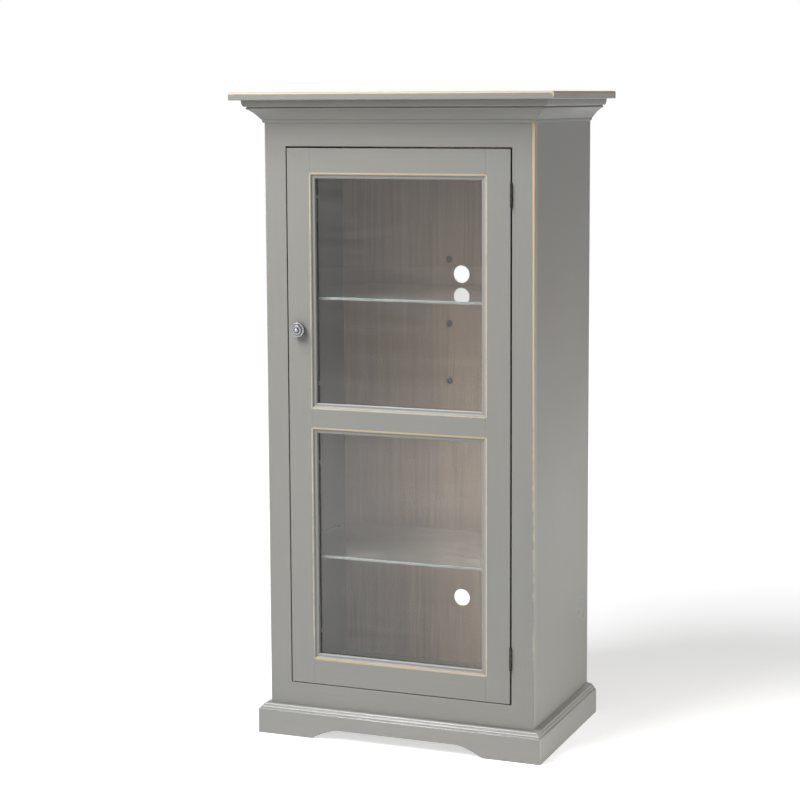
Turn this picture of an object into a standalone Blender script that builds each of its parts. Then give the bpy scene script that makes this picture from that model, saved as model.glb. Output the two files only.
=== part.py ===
"""Tall painted audio cabinet with one framed glass door.

Metres, +Z up, +X to the right and -Y to the front. The origin is on the floor
under the middle of the top slab, which is the widest and deepest piece.
"""
import math

import bmesh
import bpy
from mathutils import Matrix, Vector

# Driving dimensions of the case
BODY_WIDTH = 0.660
BODY_DEPTH = 0.422
TOTAL_HEIGHT = 1.5205
CASE_BASE = 0.030
SEAM_GAP = 0.0003
OVERRUN = 0.010
HALF_SHARE = 0.5

# Top slab
SLAB_THICK = 0.018
SLAB_OVERHANG = 0.062
SLAB_EASE = 0.0045
SLAB_UNDER_EASE = 0.002

# Face frame
STILE_WIDTH = 0.0538
FRAME_THICK = 0.019
LOW_RAIL_TOP = 0.1253
HIGH_RAIL_WIDTH = 0.1055
FRAME_TENON_LENGTH = 0.028
FRAME_TENON_THICK = 0.007
FRAME_TENON_SHOULDER = 0.014

# Case panels
PANEL_THICK = 0.019
DECK_THICK = 0.018
DECK_TOP = 0.095
HOUSING_DEPTH = 0.006
BACK_INSET = 0.010
BACK_THICK = 0.006
BACK_RABBET_WIDTH = 0.008

# Openings and plugs in the back panel
CABLE_HOLE_RADIUS = 0.0215
CABLE_HOLE_SHIFT = 0.005
UPPER_CABLE_HOLE_HEIGHT = 1.0745
LOWER_CABLE_HOLE_HEIGHT = 0.2606
PLUG_RADIUS = 0.0088
PLUG_RIM = 0.0024
PLUG_STEM_RADIUS = 0.0062
PLUG_SHIFT = -0.0264
PLUG_HEIGHTS = (1.1107, 0.9505, 0.8092)
PLUG_NAMES = ("back_plug_upper", "back_plug_middle", "back_plug_lower")

# Crown moulding under the slab, as reaches from the case and drops from its top
CROWN_REACH = 0.040
CROWN_ROUND_REACH = 0.0058
CROWN_ROUND_DROP = 0.0148
CROWN_QUIRK_DEPTH = 0.004
CROWN_QUIRK_HEIGHT = 0.0016
CROWN_BEAD_REACH = 0.0016
CROWN_BEAD_HEIGHT = 0.0044
CROWN_COVE_INSET = 0.0012
CROWN_COVE_DROP = 0.0437
CROWN_COVE_HOLLOW_SHARE = 0.22
CROWN_STEP = 0.0016
CROWN_FOOT_REACH = 0.0042
CROWN_TOE_REACH = 0.0012
CROWN_HEIGHT = 0.0516
MITRE_GAP = 0.0004

# Bracket plinth, as reaches from the case and heights from the floor
PLINTH_HEIGHT = 0.0735
PLINTH_REACH = 0.0235
PLINTH_BACK_THICK = 0.019
PLINTH_LEDGE_REACH = 0.012
PLINTH_LEDGE_DROP = 0.0035
PLINTH_BEAD_REACH = 0.0025
PLINTH_BEAD_DROP = 0.004
PLINTH_OVOLO_REACH = 0.005
PLINTH_OVOLO_DROP = 0.006
PLINTH_NOSE_DROP = 0.003
ARCH_HALF_FOOT = 0.2125
ARCH_HALF_TOP = 0.145
ARCH_HALF_BEND = 0.167
ARCH_HEIGHT = 0.0248
ARCH_HEEL = 0.0018
BLOCK_SIDE = 0.045

# Door frame, with wider gaps at its hinges and over its top
DOOR_GAP = 0.0022
DOOR_HINGE_GAP = 0.0036
DOOR_TOP_GAP = 0.004
DOOR_THICK = 0.021
DOOR_STILE_FLAT = 0.0573
DOOR_TOP_FLAT = 0.0578
DOOR_LOW_FLAT = 0.0604
DOOR_MID_FLAT = 0.0467
DOOR_MID_RISE = 0.63665
BEAD_ROUND_WIDTH = 0.0045
BEAD_ROUND_DEPTH = 0.003
BEAD_FILLET_WIDTH = 0.0035
BEAD_FILLET_DEPTH = 0.0005
BEAD_INNER_WIDTH = 0.004
BEAD_INNER_DEPTH = 0.0025
LIP_DEPTH = 0.012
RABBET_WIDTH = 0.008
DOOR_TENON_LENGTH = 0.032
DOOR_TENON_FRONT = 0.0128
DOOR_TENON_BACK = 0.0185
DOOR_TENON_SHOULDER = 0.006

# Door glass and its retaining clips
PANE_THICK = 0.0035
PANE_CLEARANCE = 0.0012
CLIP_HEIGHT = 0.010
CLIP_THICK = 0.001
CLIP_FOOT = 0.010
CLIP_SHOW = 0.0032
UPPER_CLIP_SHARES = (0.107, 0.900)
LOWER_CLIP_SHARES = (0.119, 0.852)

# Knob, turned in three steps, and the screw that holds it
KNOB_RISE = 0.8445
KNOB_NECK_RADIUS = 0.0085
KNOB_NECK_LENGTH = 0.0055
KNOB_RADIUS = 0.01725
KNOB_RIM_LENGTH = 0.010
KNOB_RIM_ROUND = 0.0035
KNOB_RING_RADIUS = 0.0112
KNOB_RING_STEP = 0.0035
KNOB_BUTTON_RADIUS = 0.0052
KNOB_BUTTON_STEP = 0.0050
KNOB_GROOVE_WIDTH = 0.0008
KNOB_GROOVE_DEPTH = 0.002
KNOB_EDGE_ROUND = 0.0016
KNOB_BORE_DEPTH = 0.009
SCREW_RADIUS = 0.002
SCREW_CLEARANCE = 0.0003
SCREW_BITE = 0.007
SCREW_HEAD_RADIUS = 0.0045
SCREW_HEAD_HEIGHT = 0.0024

# Butt hinges with rolled knuckles
HINGE_HEIGHT = 0.054
UPPER_HINGE_INSET = 0.1025
LOWER_HINGE_INSET = 0.1059
HINGE_AXIS_FORWARD = 0.003
HINGE_PIN_RADIUS = 0.0012
HINGE_PIN_CLEARANCE = 0.0002
HINGE_LEAF_THICK = 0.0012
HINGE_LEAF_REACH = 0.0185
HINGE_HEAD_RADIUS = 0.0022
HINGE_HEAD_HEIGHT = 0.0008
HINGE_KNUCKLES = 5
CURL_SWEEP = math.radians(285)

# Glass shelves and the pins under them
SHELF_THICK = 0.006
SHELF_FRONT_INSET = 0.026
SHELF_BACK_CLEARANCE = 0.003
SHELF_SIDE_CLEARANCE = 0.0006
UPPER_SHELF_HEIGHT = 1.044
LOWER_SHELF_HEIGHT = 0.4302
PIN_RADIUS = 0.0025
PIN_SHOW = 0.009
PIN_SINK = 0.009
PIN_COLLAR_RADIUS = 0.004
PIN_COLLAR_THICK = 0.0011
PIN_FRONT_INSET = 0.045
PIN_BACK_INSET = 0.045

# Magnetic catch behind the left stile and its strike plate on the door
CATCH_HEIGHT = 0.046
CATCH_BASE_WIDTH = 0.022
CATCH_NOSE_WIDTH = 0.0125
CATCH_DEPTH = 0.016
POLE_SPACING = 0.0058
POLE_THICK = 0.0016
POLE_HEIGHT = 0.030
POLE_SHOW = 0.0012
POLE_SINK = 0.006
STRIKE_THICK = 0.0012
STRIKE_WIDTH = 0.0105
STRIKE_HEIGHT = 0.038
STRIKE_EDGE = 0.0012

# Faceting
ROUND_STEPS = 6
KNOB_STEPS = 4
BEAD_STEPS = 3
COVE_STEPS = 8
ARCH_STEPS = 10
CURL_STEPS = 20
PIN_SIDES = 16
FINE_SIDES = 24
WIDE_SIDES = 40
QUARTER_TURN = math.radians(90)
HALF_TURN = math.radians(180)
SHARP_ANGLE = math.radians(35)

# Colours, roughness and metallic values of the finishes
FINISHES = {
    "grey_paint": ((0.341, 0.337, 0.305), 0.55, 0),
    "inside_paint": ((0.158, 0.147, 0.130), 0.65, 0),
    "bare_wood": ((0.402, 0.262, 0.147), 0.75, 0),
    "clear_glass": ((0.640, 0.700, 0.670), 0.04, 0),
    "satin_silver": ((0.620, 0.610, 0.590), 0.28, 1),
    "aged_steel": ((0.128, 0.122, 0.110), 0.45, 1),
    "bright_steel": ((0.560, 0.560, 0.550), 0.30, 1),
    "dark_rubber": ((0.045, 0.048, 0.048), 0.80, 0),
    "grey_plastic": ((0.300, 0.300, 0.290), 0.50, 0),
}

# Places worked out from the driving dimensions
HALF_BODY = BODY_WIDTH * HALF_SHARE
HALF_DEPTH = (BODY_DEPTH + SLAB_OVERHANG) * HALF_SHARE
FRONT_Y = SLAB_OVERHANG - HALF_DEPTH
BACK_Y = HALF_DEPTH
SLAB_BOTTOM = TOTAL_HEIGHT - SLAB_THICK
CASE_TOP = SLAB_BOTTOM - SEAM_GAP
OPENING_HALF = HALF_BODY - STILE_WIDTH
HIGH_RAIL_BOTTOM = CASE_TOP - HIGH_RAIL_WIDTH
PANEL_FRONT_Y = FRONT_Y + FRAME_THICK + SEAM_GAP
INSIDE_HALF = HALF_BODY - PANEL_THICK
INSIDE_BACK_Y = BACK_Y - BACK_INSET
DOOR_LEFT = DOOR_GAP - OPENING_HALF
DOOR_RIGHT = OPENING_HALF - DOOR_HINGE_GAP
DOOR_MIDDLE = (DOOR_LEFT + DOOR_RIGHT) * HALF_SHARE
DOOR_LOW = LOW_RAIL_TOP + DOOR_GAP
DOOR_HIGH = HIGH_RAIL_BOTTOM - DOOR_TOP_GAP
UPPER_HINGE_HEIGHT = DOOR_HIGH - UPPER_HINGE_INSET
LOWER_HINGE_HEIGHT = DOOR_LOW + LOWER_HINGE_INSET
DOOR_BACK_Y = FRONT_Y + DOOR_THICK
LIGHT_HALF = DOOR_RIGHT - DOOR_MIDDLE - DOOR_STILE_FLAT
MID_RAIL_LOW = DOOR_LOW + DOOR_MID_RISE - DOOR_MID_FLAT * HALF_SHARE
MID_RAIL_HIGH = MID_RAIL_LOW + DOOR_MID_FLAT
UPPER_LIGHT = (MID_RAIL_HIGH, DOOR_HIGH - DOOR_TOP_FLAT)
LOWER_LIGHT = (DOOR_LOW + DOOR_LOW_FLAT, MID_RAIL_LOW)
BEAD_WIDTH = BEAD_ROUND_WIDTH + BEAD_FILLET_WIDTH + BEAD_INNER_WIDTH
BEAD_DEPTH = BEAD_ROUND_DEPTH + BEAD_FILLET_DEPTH + BEAD_INNER_DEPTH
RABBET_REACH = BEAD_WIDTH - RABBET_WIDTH
HINGE_X = (OPENING_HALF + DOOR_RIGHT) * HALF_SHARE
HINGE_Y = FRONT_Y - HINGE_AXIS_FORWARD
HINGE_BORE = HINGE_PIN_RADIUS + HINGE_PIN_CLEARANCE
HINGE_RADIUS = HINGE_BORE + HINGE_LEAF_THICK
KNOB_X = DOOR_LEFT + DOOR_STILE_FLAT * HALF_SHARE
KNOB_HEIGHT = DOOR_LOW + KNOB_RISE


# Helpers for solids

def clear_scene():
    """Start from an empty scene."""
    for item in list(bpy.data.objects):
        bpy.data.objects.remove(item, do_unlink=True)


def make_material(name, finish):
    """Give a piece its own material in one of the finishes."""
    colour, roughness, metallic = FINISHES[finish]
    material = bpy.data.materials.new(name + "_" + finish)
    material.use_nodes = True
    shader = material.node_tree.nodes["Principled BSDF"]
    shader.inputs["Base Color"].default_value = (*colour, 1)
    shader.inputs["Roughness"].default_value = roughness
    shader.inputs["Metallic"].default_value = metallic
    return material


def to_data(name, mesh, finish, smooth=False):
    """Close a bmesh into mesh data in one finish."""
    bmesh.ops.recalc_face_normals(mesh, faces=mesh.faces)
    data = bpy.data.meshes.new(name)
    mesh.to_mesh(data)
    mesh.free()
    if smooth:
        data.shade_smooth()
        data.set_sharp_from_angle(angle=SHARP_ANGLE)
    if finish:
        data.materials.append(make_material(name, finish))
    return data


def place(name, data, matrix):
    """Put an object that shows some mesh data into the scene."""
    item = bpy.data.objects.new(name, data)
    item.matrix_world = matrix
    bpy.context.scene.collection.objects.link(item)
    return item


def to_object(name, mesh, finish, smooth=False):
    """Close a bmesh into an object whose origin is the middle of its box."""
    low = Vector([min(vertex.co[axis] for vertex in mesh.verts) for axis in range(3)])
    high = Vector([max(vertex.co[axis] for vertex in mesh.verts) for axis in range(3)])
    middle = (low + high) * HALF_SHARE
    bmesh.ops.translate(mesh, verts=mesh.verts, vec=-middle)
    return place(name, to_data(name, mesh, finish, smooth), Matrix.Translation(middle))


def add_loft(mesh, first_ring, last_ring):
    """Close two matching rings of points into a solid."""
    first = [mesh.verts.new(point) for point in first_ring]
    last = [mesh.verts.new(point) for point in last_ring]
    mesh.faces.new(first)
    mesh.faces.new(last)
    for index in range(len(first)):
        mesh.faces.new((first[index - 1], first[index], last[index], last[index - 1]))


def add_prism(mesh, outline, axis, span):
    """Extrude an outline along X, Y or Z between the two ends of a span."""
    def ring(place):
        if axis == "X":
            return [(place, first, second) for first, second in outline]
        if axis == "Y":
            return [(first, place, second) for first, second in outline]
        return [(first, second, place) for first, second in outline]
    add_loft(mesh, ring(span[0]), ring(span[1]))


def add_box(mesh, x_span, y_span, z_span):
    """Add a box between its limits."""
    outline = [(x_span[0], y_span[0]), (x_span[1], y_span[0])]
    outline += [(x_span[1], y_span[1]), (x_span[0], y_span[1])]
    add_prism(mesh, outline, "Z", z_span)


def add_turned(mesh, outline, matrix, sides):
    """Turn an outline of (radius, height) points, both ends on the axis, about Z."""
    start = len(mesh.verts)
    ends = [mesh.verts.new((0, 0, outline[0][1])), mesh.verts.new((0, 0, outline[-1][1]))]
    rings = []
    for radius, height in outline[1:-1]:
        angles = [math.tau * side / sides for side in range(sides)]
        points = [(radius * math.cos(angle), radius * math.sin(angle), height) for angle in angles]
        rings.append([mesh.verts.new(point) for point in points])
    for side in range(sides):
        mesh.faces.new((ends[0], rings[0][side - 1], rings[0][side]))
        mesh.faces.new((ends[1], rings[-1][side], rings[-1][side - 1]))
        for lower, upper in zip(rings, rings[1:]):
            mesh.faces.new((lower[side - 1], upper[side - 1], upper[side], lower[side]))
    mesh.verts.ensure_lookup_table()
    bmesh.ops.transform(mesh, matrix=matrix, verts=mesh.verts[start:])


def add_cylinder(mesh, radius, length, matrix, sides):
    """Add a cylinder from the matrix's origin along its Z."""
    outline = [(0, 0), (radius, 0), (radius, length), (0, length)]
    add_turned(mesh, outline, matrix, sides)


def along(direction, place):
    """Return a matrix whose Z runs in a direction from a place."""
    return Matrix.Translation(place) @ Vector(direction).to_track_quat("Z", "Y").to_matrix().to_4x4()


def quarter_round(start, end, steps):
    """Return an elliptic quarter that leaves its start along the first coordinate."""
    points = []
    for step in range(1, steps + 1):
        angle = QUARTER_TURN * step / steps
        first = start[0] + (end[0] - start[0]) * math.sin(angle)
        second = start[1] + (end[1] - start[1]) * (1 - math.cos(angle))
        points.append((first, second))
    return points


def bend(start, corner, end, steps):
    """Return a smooth bend from start to end that heads for a corner point."""
    points = []
    for step in range(1, steps + 1):
        share = step / steps
        rest = 1 - share
        toward = [a * rest + b * share for a, b in zip(start, corner)]
        onward = [b * rest + c * share for b, c in zip(corner, end)]
        points.append(tuple(a * rest + b * share for a, b in zip(toward, onward)))
    return points


def bead(start, end, reach, steps):
    """Return a half-round bead that stands out by a reach between two points."""
    nose = (start[0] + reach, (start[1] + end[1]) * HALF_SHARE)
    back = quarter_round(end, nose, steps)
    return quarter_round(start, nose, steps) + [point for point in reversed(back[:-1])] + [end]


def make_cutter(name, mesh):
    """Turn a bmesh into a hidden cutter."""
    cutter = to_object(name, mesh, None)
    cutter.hide_render = True
    cutter.display_type = "WIRE"
    return cutter


def combine(target, other, operation):
    """Add a Boolean with another object."""
    modifier = target.modifiers.new(other.name, "BOOLEAN")
    modifier.operation = operation
    modifier.solver = "EXACT"
    modifier.object = other


def spread(centre, size):
    """Return the limits of a size about a centre."""
    return (centre - size * HALF_SHARE, centre + size * HALF_SHARE)


def mirrored(side, inner, outer):
    """Return limits in X for one side, -1 left or 1 right."""
    return tuple(sorted((side * inner, side * outer)))


# Slab, crown and plinth

def make_slab():
    """Overhanging top with eased edges on the front and the sides."""
    mesh = bmesh.new()
    reach = HALF_BODY + SLAB_OVERHANG
    add_box(mesh, (-reach, reach), (-HALF_DEPTH, BACK_Y), (SLAB_BOTTOM, TOTAL_HEIGHT))
    bmesh.ops.recalc_face_normals(mesh, faces=mesh.faces)
    for height, ease in ((TOTAL_HEIGHT, SLAB_EASE), (SLAB_BOTTOM, SLAB_UNDER_EASE)):
        chosen = []
        for edge in mesh.edges:
            level = all(abs(vertex.co.z - height) < SEAM_GAP for vertex in edge.verts)
            at_back = all(abs(vertex.co.y - BACK_Y) < SEAM_GAP for vertex in edge.verts)
            if level and not at_back:
                chosen.append(edge)
        shape = {"segments": ROUND_STEPS, "profile": HALF_SHARE, "affect": "EDGES"}
        bmesh.ops.bevel(mesh, geom=chosen, offset=ease, **shape)
    return to_object("top_slab", mesh, "grey_paint", smooth=True)


def crown_outline():
    """Return the crown's section as reach from the case and height."""
    top = (CROWN_REACH, CASE_TOP)
    ovolo_end = (CROWN_REACH - CROWN_ROUND_REACH, CASE_TOP - CROWN_ROUND_DROP)
    quirk = (ovolo_end[0] - CROWN_QUIRK_DEPTH, ovolo_end[1])
    bead_start = (quirk[0], quirk[1] - CROWN_QUIRK_HEIGHT)
    bead_end = (quirk[0], bead_start[1] - CROWN_BEAD_HEIGHT)
    cove_start = (bead_end[0] - CROWN_COVE_INSET, bead_end[1])
    cove_end = (CROWN_FOOT_REACH + CROWN_STEP, CASE_TOP - CROWN_COVE_DROP)
    inner_corner = (cove_end[0], cove_start[1])
    middle = tuple((a + b) * HALF_SHARE for a, b in zip(cove_start, cove_end))
    hollow = tuple(a + CROWN_COVE_HOLLOW_SHARE * (b - a) for a, b in zip(middle, inner_corner))
    foot_start = (CROWN_FOOT_REACH, cove_end[1])
    toe = (CROWN_TOE_REACH, CASE_TOP - CROWN_HEIGHT)
    points = [(SEAM_GAP, CASE_TOP), top]
    points += [point for point in reversed(quarter_round(ovolo_end, top, ROUND_STEPS)[:-1])]
    points += [ovolo_end, quirk, bead_start]
    points += bead(bead_start, bead_end, CROWN_BEAD_REACH, BEAD_STEPS)
    points += [cove_start] + bend(cove_start, hollow, cove_end, COVE_STEPS) + [foot_start]
    points += [point for point in reversed(quarter_round(toe, foot_start, ROUND_STEPS)[:-1])]
    points += [toe, (SEAM_GAP, toe[1])]
    return points


def plinth_outline():
    """Return the plinth's section as reach from the case and height."""
    ledge = (PLINTH_LEDGE_REACH, PLINTH_HEIGHT - PLINTH_LEDGE_DROP)
    bead = (ledge[0] + PLINTH_BEAD_REACH, ledge[1] - PLINTH_BEAD_DROP)
    ovolo = (bead[0] + PLINTH_OVOLO_REACH, bead[1] - PLINTH_OVOLO_DROP)
    nose = (PLINTH_REACH, ovolo[1] - PLINTH_NOSE_DROP)
    points = [(SEAM_GAP, 0), (SEAM_GAP, PLINTH_HEIGHT), ledge]
    points += quarter_round(ledge, bead, ROUND_STEPS)
    points += quarter_round(bead, ovolo, ROUND_STEPS)
    points += quarter_round(ovolo, nose, ROUND_STEPS)
    points += [(PLINTH_REACH, 0)]
    return points


def make_front_run(name, outline):
    """Run a section across the front, mitred at both ends."""
    mesh = bmesh.new()
    end = HALF_BODY - MITRE_GAP
    left = [(-end - reach, FRONT_Y - reach, height) for reach, height in outline]
    right = [(end + reach, FRONT_Y - reach, height) for reach, height in outline]
    add_loft(mesh, left, right)
    return to_object(name, mesh, "grey_paint", smooth=True)


def make_side_run(name, outline, side):
    """Run a section along one side from the mitre to the back."""
    mesh = bmesh.new()
    front = [(side * (HALF_BODY + reach), FRONT_Y - reach, height) for reach, height in outline]
    back = [(side * (HALF_BODY + reach), BACK_Y, height) for reach, height in outline]
    add_loft(mesh, front, back)
    return to_object(name, mesh, "grey_paint", smooth=True)


def make_crown():
    """Crown moulding in three mitred runs."""
    outline = crown_outline()
    make_front_run("crown_front", outline)
    make_side_run("crown_left", outline, -1)
    make_side_run("crown_right", outline, 1)


def arch_cutter():
    """Low arch between the front feet, with a haunch at each end."""
    foot = (ARCH_HALF_FOOT, ARCH_HEEL)
    crown = (ARCH_HALF_TOP, ARCH_HEIGHT)
    haunch = [foot] + bend(foot, (ARCH_HALF_BEND, ARCH_HEIGHT), crown, ARCH_STEPS)
    right = [(ARCH_HALF_FOOT, -OVERRUN)] + haunch
    left = [(-reach, height) for reach, height in reversed(right)]
    mesh = bmesh.new()
    front = FRONT_Y - PLINTH_REACH - OVERRUN
    add_prism(mesh, right + left, "Y", (front, FRONT_Y + OVERRUN))
    return make_cutter("cut_arch", mesh)


def make_plinth():
    """Bracket plinth in three mitred runs, with a plain board at the back."""
    outline = plinth_outline()
    front = make_front_run("plinth_front", outline)
    combine(front, arch_cutter(), "DIFFERENCE")
    make_side_run("plinth_left", outline, -1)
    make_side_run("plinth_right", outline, 1)
    mesh = bmesh.new()
    end = HALF_BODY - SEAM_GAP
    back_front = BACK_Y - PLINTH_BACK_THICK
    add_box(mesh, (-end, end), (back_front, BACK_Y), (0, CASE_BASE - SEAM_GAP))
    to_object("plinth_back", mesh, "bare_wood")


def make_corner_blocks():
    """Blocks in the plinth's front corners that carry the case."""
    start = FRONT_Y + SEAM_GAP
    outer = HALF_BODY - SEAM_GAP
    for name, side in (("corner_block_left", -1), ("corner_block_right", 1)):
        mesh = bmesh.new()
        x_span = mirrored(side, outer - BLOCK_SIDE, outer)
        add_box(mesh, x_span, (start, start + BLOCK_SIDE), (0, CASE_BASE - SEAM_GAP))
        to_object(name, mesh, "bare_wood")


# Case

def hinge_pocket_span():
    """Return the depth limits of a hinge leaf's pocket."""
    return (FRONT_Y - OVERRUN, HINGE_Y + HINGE_LEAF_REACH + SEAM_GAP)


def pocket_depth():
    """Return how far a leaf's pocket lies from the hinge axis."""
    return HINGE_RADIUS + SEAM_GAP


def hinge_pocket_heights():
    """Return the height limits of both hinge pockets."""
    size = HINGE_HEIGHT + SEAM_GAP + SEAM_GAP
    return [spread(height, size) for height in (UPPER_HINGE_HEIGHT, LOWER_HINGE_HEIGHT)]


def frame_tenon_limits():
    """Return the face frame's tenon limits in Y and Z, low rail and high rail."""
    y_span = spread(FRONT_Y + FRAME_THICK * HALF_SHARE, FRAME_TENON_THICK)
    low = (CASE_BASE + FRAME_TENON_SHOULDER, LOW_RAIL_TOP - FRAME_TENON_SHOULDER)
    high = (HIGH_RAIL_BOTTOM + FRAME_TENON_SHOULDER, CASE_TOP - FRAME_TENON_SHOULDER)
    return y_span, (low, high)


def make_face_stile(name, side):
    """Upright of the face frame, mortised for both rails."""
    mesh = bmesh.new()
    width = mirrored(side, OPENING_HALF, HALF_BODY)
    add_box(mesh, width, (FRONT_Y, FRONT_Y + FRAME_THICK), (CASE_BASE, CASE_TOP))
    stile = to_object(name, mesh, "grey_paint")
    cutter = bmesh.new()
    y_span, heights = frame_tenon_limits()
    depth = OPENING_HALF + FRAME_TENON_LENGTH + SEAM_GAP
    for low, high in heights:
        x_span = mirrored(side, OPENING_HALF - OVERRUN, depth)
        wide = (y_span[0] - SEAM_GAP, y_span[1] + SEAM_GAP)
        add_box(cutter, x_span, wide, (low - SEAM_GAP, high + SEAM_GAP))
    combine(stile, make_cutter("cut_" + name, cutter), "DIFFERENCE")
    return stile


def pocket_frame_stile(stile):
    """Sink the hinge leaves into the right stile."""
    cutter = bmesh.new()
    for heights in hinge_pocket_heights():
        add_box(cutter, (HINGE_X, HINGE_X + pocket_depth()), hinge_pocket_span(), heights)
    combine(stile, make_cutter("cut_frame_pockets", cutter), "DIFFERENCE")


def make_face_rail(name, z_span, tenon_heights):
    """Rail of the face frame with a tenon at each end."""
    mesh = bmesh.new()
    end = OPENING_HALF - SEAM_GAP
    add_box(mesh, (-end, end), (FRONT_Y, FRONT_Y + FRAME_THICK), z_span)
    rail = to_object(name, mesh, "grey_paint")
    tenons = bmesh.new()
    y_span, _ = frame_tenon_limits()
    for side in (-1, 1):
        x_span = mirrored(side, end - OVERRUN, OPENING_HALF + FRAME_TENON_LENGTH)
        add_box(tenons, x_span, y_span, tenon_heights)
    combine(rail, make_cutter("tenons_" + name, tenons), "UNION")


def make_face_frame():
    """Face frame of two stiles and two rails."""
    make_face_stile("face_stile_left", -1)
    pocket_frame_stile(make_face_stile("face_stile_right", 1))
    low, high = frame_tenon_limits()[1]
    make_face_rail("face_rail_bottom", (CASE_BASE, LOW_RAIL_TOP), low)
    make_face_rail("face_rail_top", (HIGH_RAIL_BOTTOM, CASE_TOP), high)


def deck_spans():
    """Return the height limits of the bottom panel and the top panel."""
    return ((DECK_TOP - DECK_THICK, DECK_TOP), (CASE_TOP - DECK_THICK, CASE_TOP))


def shelf_pin_places():
    """Return the depth and height of each shelf's pins, upper shelf first."""
    depths = (FRONT_Y + SHELF_FRONT_INSET + PIN_FRONT_INSET,
              INSIDE_BACK_Y - SHELF_BACK_CLEARANCE - PIN_BACK_INSET)
    drop = SHELF_THICK * HALF_SHARE + SEAM_GAP + PIN_RADIUS
    heights = (UPPER_SHELF_HEIGHT - drop, LOWER_SHELF_HEIGHT - drop)
    return [[(depth, height) for depth in depths] for height in heights]


def make_side_panel(name, side):
    """Side of the case, rabbeted for the back, housed for the decks and drilled for the pins."""
    rabbet = INSIDE_HALF + BACK_RABBET_WIDTH
    outline = [(HALF_BODY, PANEL_FRONT_Y), (INSIDE_HALF, PANEL_FRONT_Y)]
    outline += [(INSIDE_HALF, INSIDE_BACK_Y), (rabbet, INSIDE_BACK_Y)]
    outline += [(rabbet, BACK_Y), (HALF_BODY, BACK_Y)]
    mesh = bmesh.new()
    add_prism(mesh, [(side * x, y) for x, y in outline], "Z", (CASE_BASE, CASE_TOP))
    panel = to_object(name, mesh, "grey_paint")
    cutter = bmesh.new()
    low, high = deck_spans()
    x_span = mirrored(side, INSIDE_HALF - OVERRUN, INSIDE_HALF + HOUSING_DEPTH + SEAM_GAP)
    y_span = (PANEL_FRONT_Y - OVERRUN, BACK_Y + OVERRUN)
    add_box(cutter, x_span, y_span, (low[0] - SEAM_GAP, low[1] + SEAM_GAP))
    add_box(cutter, x_span, y_span, (high[0] - SEAM_GAP, high[1] + OVERRUN))
    for places in shelf_pin_places():
        for depth, height in places:
            start = (side * (INSIDE_HALF - OVERRUN), depth, height)
            length = OVERRUN + PIN_SINK + SEAM_GAP
            add_cylinder(cutter, PIN_RADIUS + SEAM_GAP, length, along((side, 0, 0), start), PIN_SIDES)
    combine(panel, make_cutter("cut_" + name, cutter), "DIFFERENCE")


def make_decks():
    """Bottom panel and top panel, let into the sides."""
    low, high = deck_spans()
    reach = INSIDE_HALF + HOUSING_DEPTH
    for name, z_span in (("bottom_panel", low), ("top_panel", high)):
        mesh = bmesh.new()
        add_box(mesh, (-reach, reach), (PANEL_FRONT_Y, INSIDE_BACK_Y), z_span)
        to_object(name, mesh, "inside_paint")


def back_face_y():
    """Return where the back panel's inner face lies."""
    return INSIDE_BACK_Y + SEAM_GAP


def make_back_panel():
    """Back panel with two cable holes and three plug holes."""
    mesh = bmesh.new()
    reach = INSIDE_HALF + BACK_RABBET_WIDTH - SEAM_GAP
    front = back_face_y()
    add_box(mesh, (-reach, reach), (front, front + BACK_THICK), (CASE_BASE, CASE_TOP))
    panel = to_object("back_panel", mesh, "inside_paint")
    cutter = bmesh.new()
    length = BACK_THICK + OVERRUN + OVERRUN
    for height in (UPPER_CABLE_HOLE_HEIGHT, LOWER_CABLE_HOLE_HEIGHT):
        start = (CABLE_HOLE_SHIFT, front - OVERRUN, height)
        add_cylinder(cutter, CABLE_HOLE_RADIUS, length, along((0, 1, 0), start), WIDE_SIDES)
    for height in PLUG_HEIGHTS:
        start = (PLUG_SHIFT, front - OVERRUN, height)
        add_cylinder(cutter, PLUG_STEM_RADIUS + SEAM_GAP, length, along((0, 1, 0), start), FINE_SIDES)
    combine(panel, make_cutter("cut_back_panel", cutter), "DIFFERENCE")


def make_plugs():
    """Domed plugs pushed into the small holes of the back panel."""
    mesh = bmesh.new()
    rim = PLUG_RIM
    dome = quarter_round((0, rim), (PLUG_RADIUS, 0), KNOB_STEPS)
    outline = [(0, rim)] + dome + [(PLUG_STEM_RADIUS, 0)]
    outline += [(PLUG_STEM_RADIUS, -BACK_THICK - SEAM_GAP), (0, -BACK_THICK - SEAM_GAP)]
    add_turned(mesh, outline, Matrix(), FINE_SIDES)
    data = to_data("back_plug", mesh, "dark_rubber", smooth=True)
    for name, height in zip(PLUG_NAMES, PLUG_HEIGHTS):
        place(name, data, along((0, -1, 0), (PLUG_SHIFT, INSIDE_BACK_Y, height)))


def make_shelf(name, height):
    """Glass shelf across the case."""
    mesh = bmesh.new()
    reach = INSIDE_HALF - SEAM_GAP - PIN_COLLAR_THICK - SHELF_SIDE_CLEARANCE
    y_span = (FRONT_Y + SHELF_FRONT_INSET, INSIDE_BACK_Y - SHELF_BACK_CLEARANCE)
    add_box(mesh, (-reach, reach), y_span, spread(height, SHELF_THICK))
    to_object(name, mesh, "clear_glass")


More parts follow.
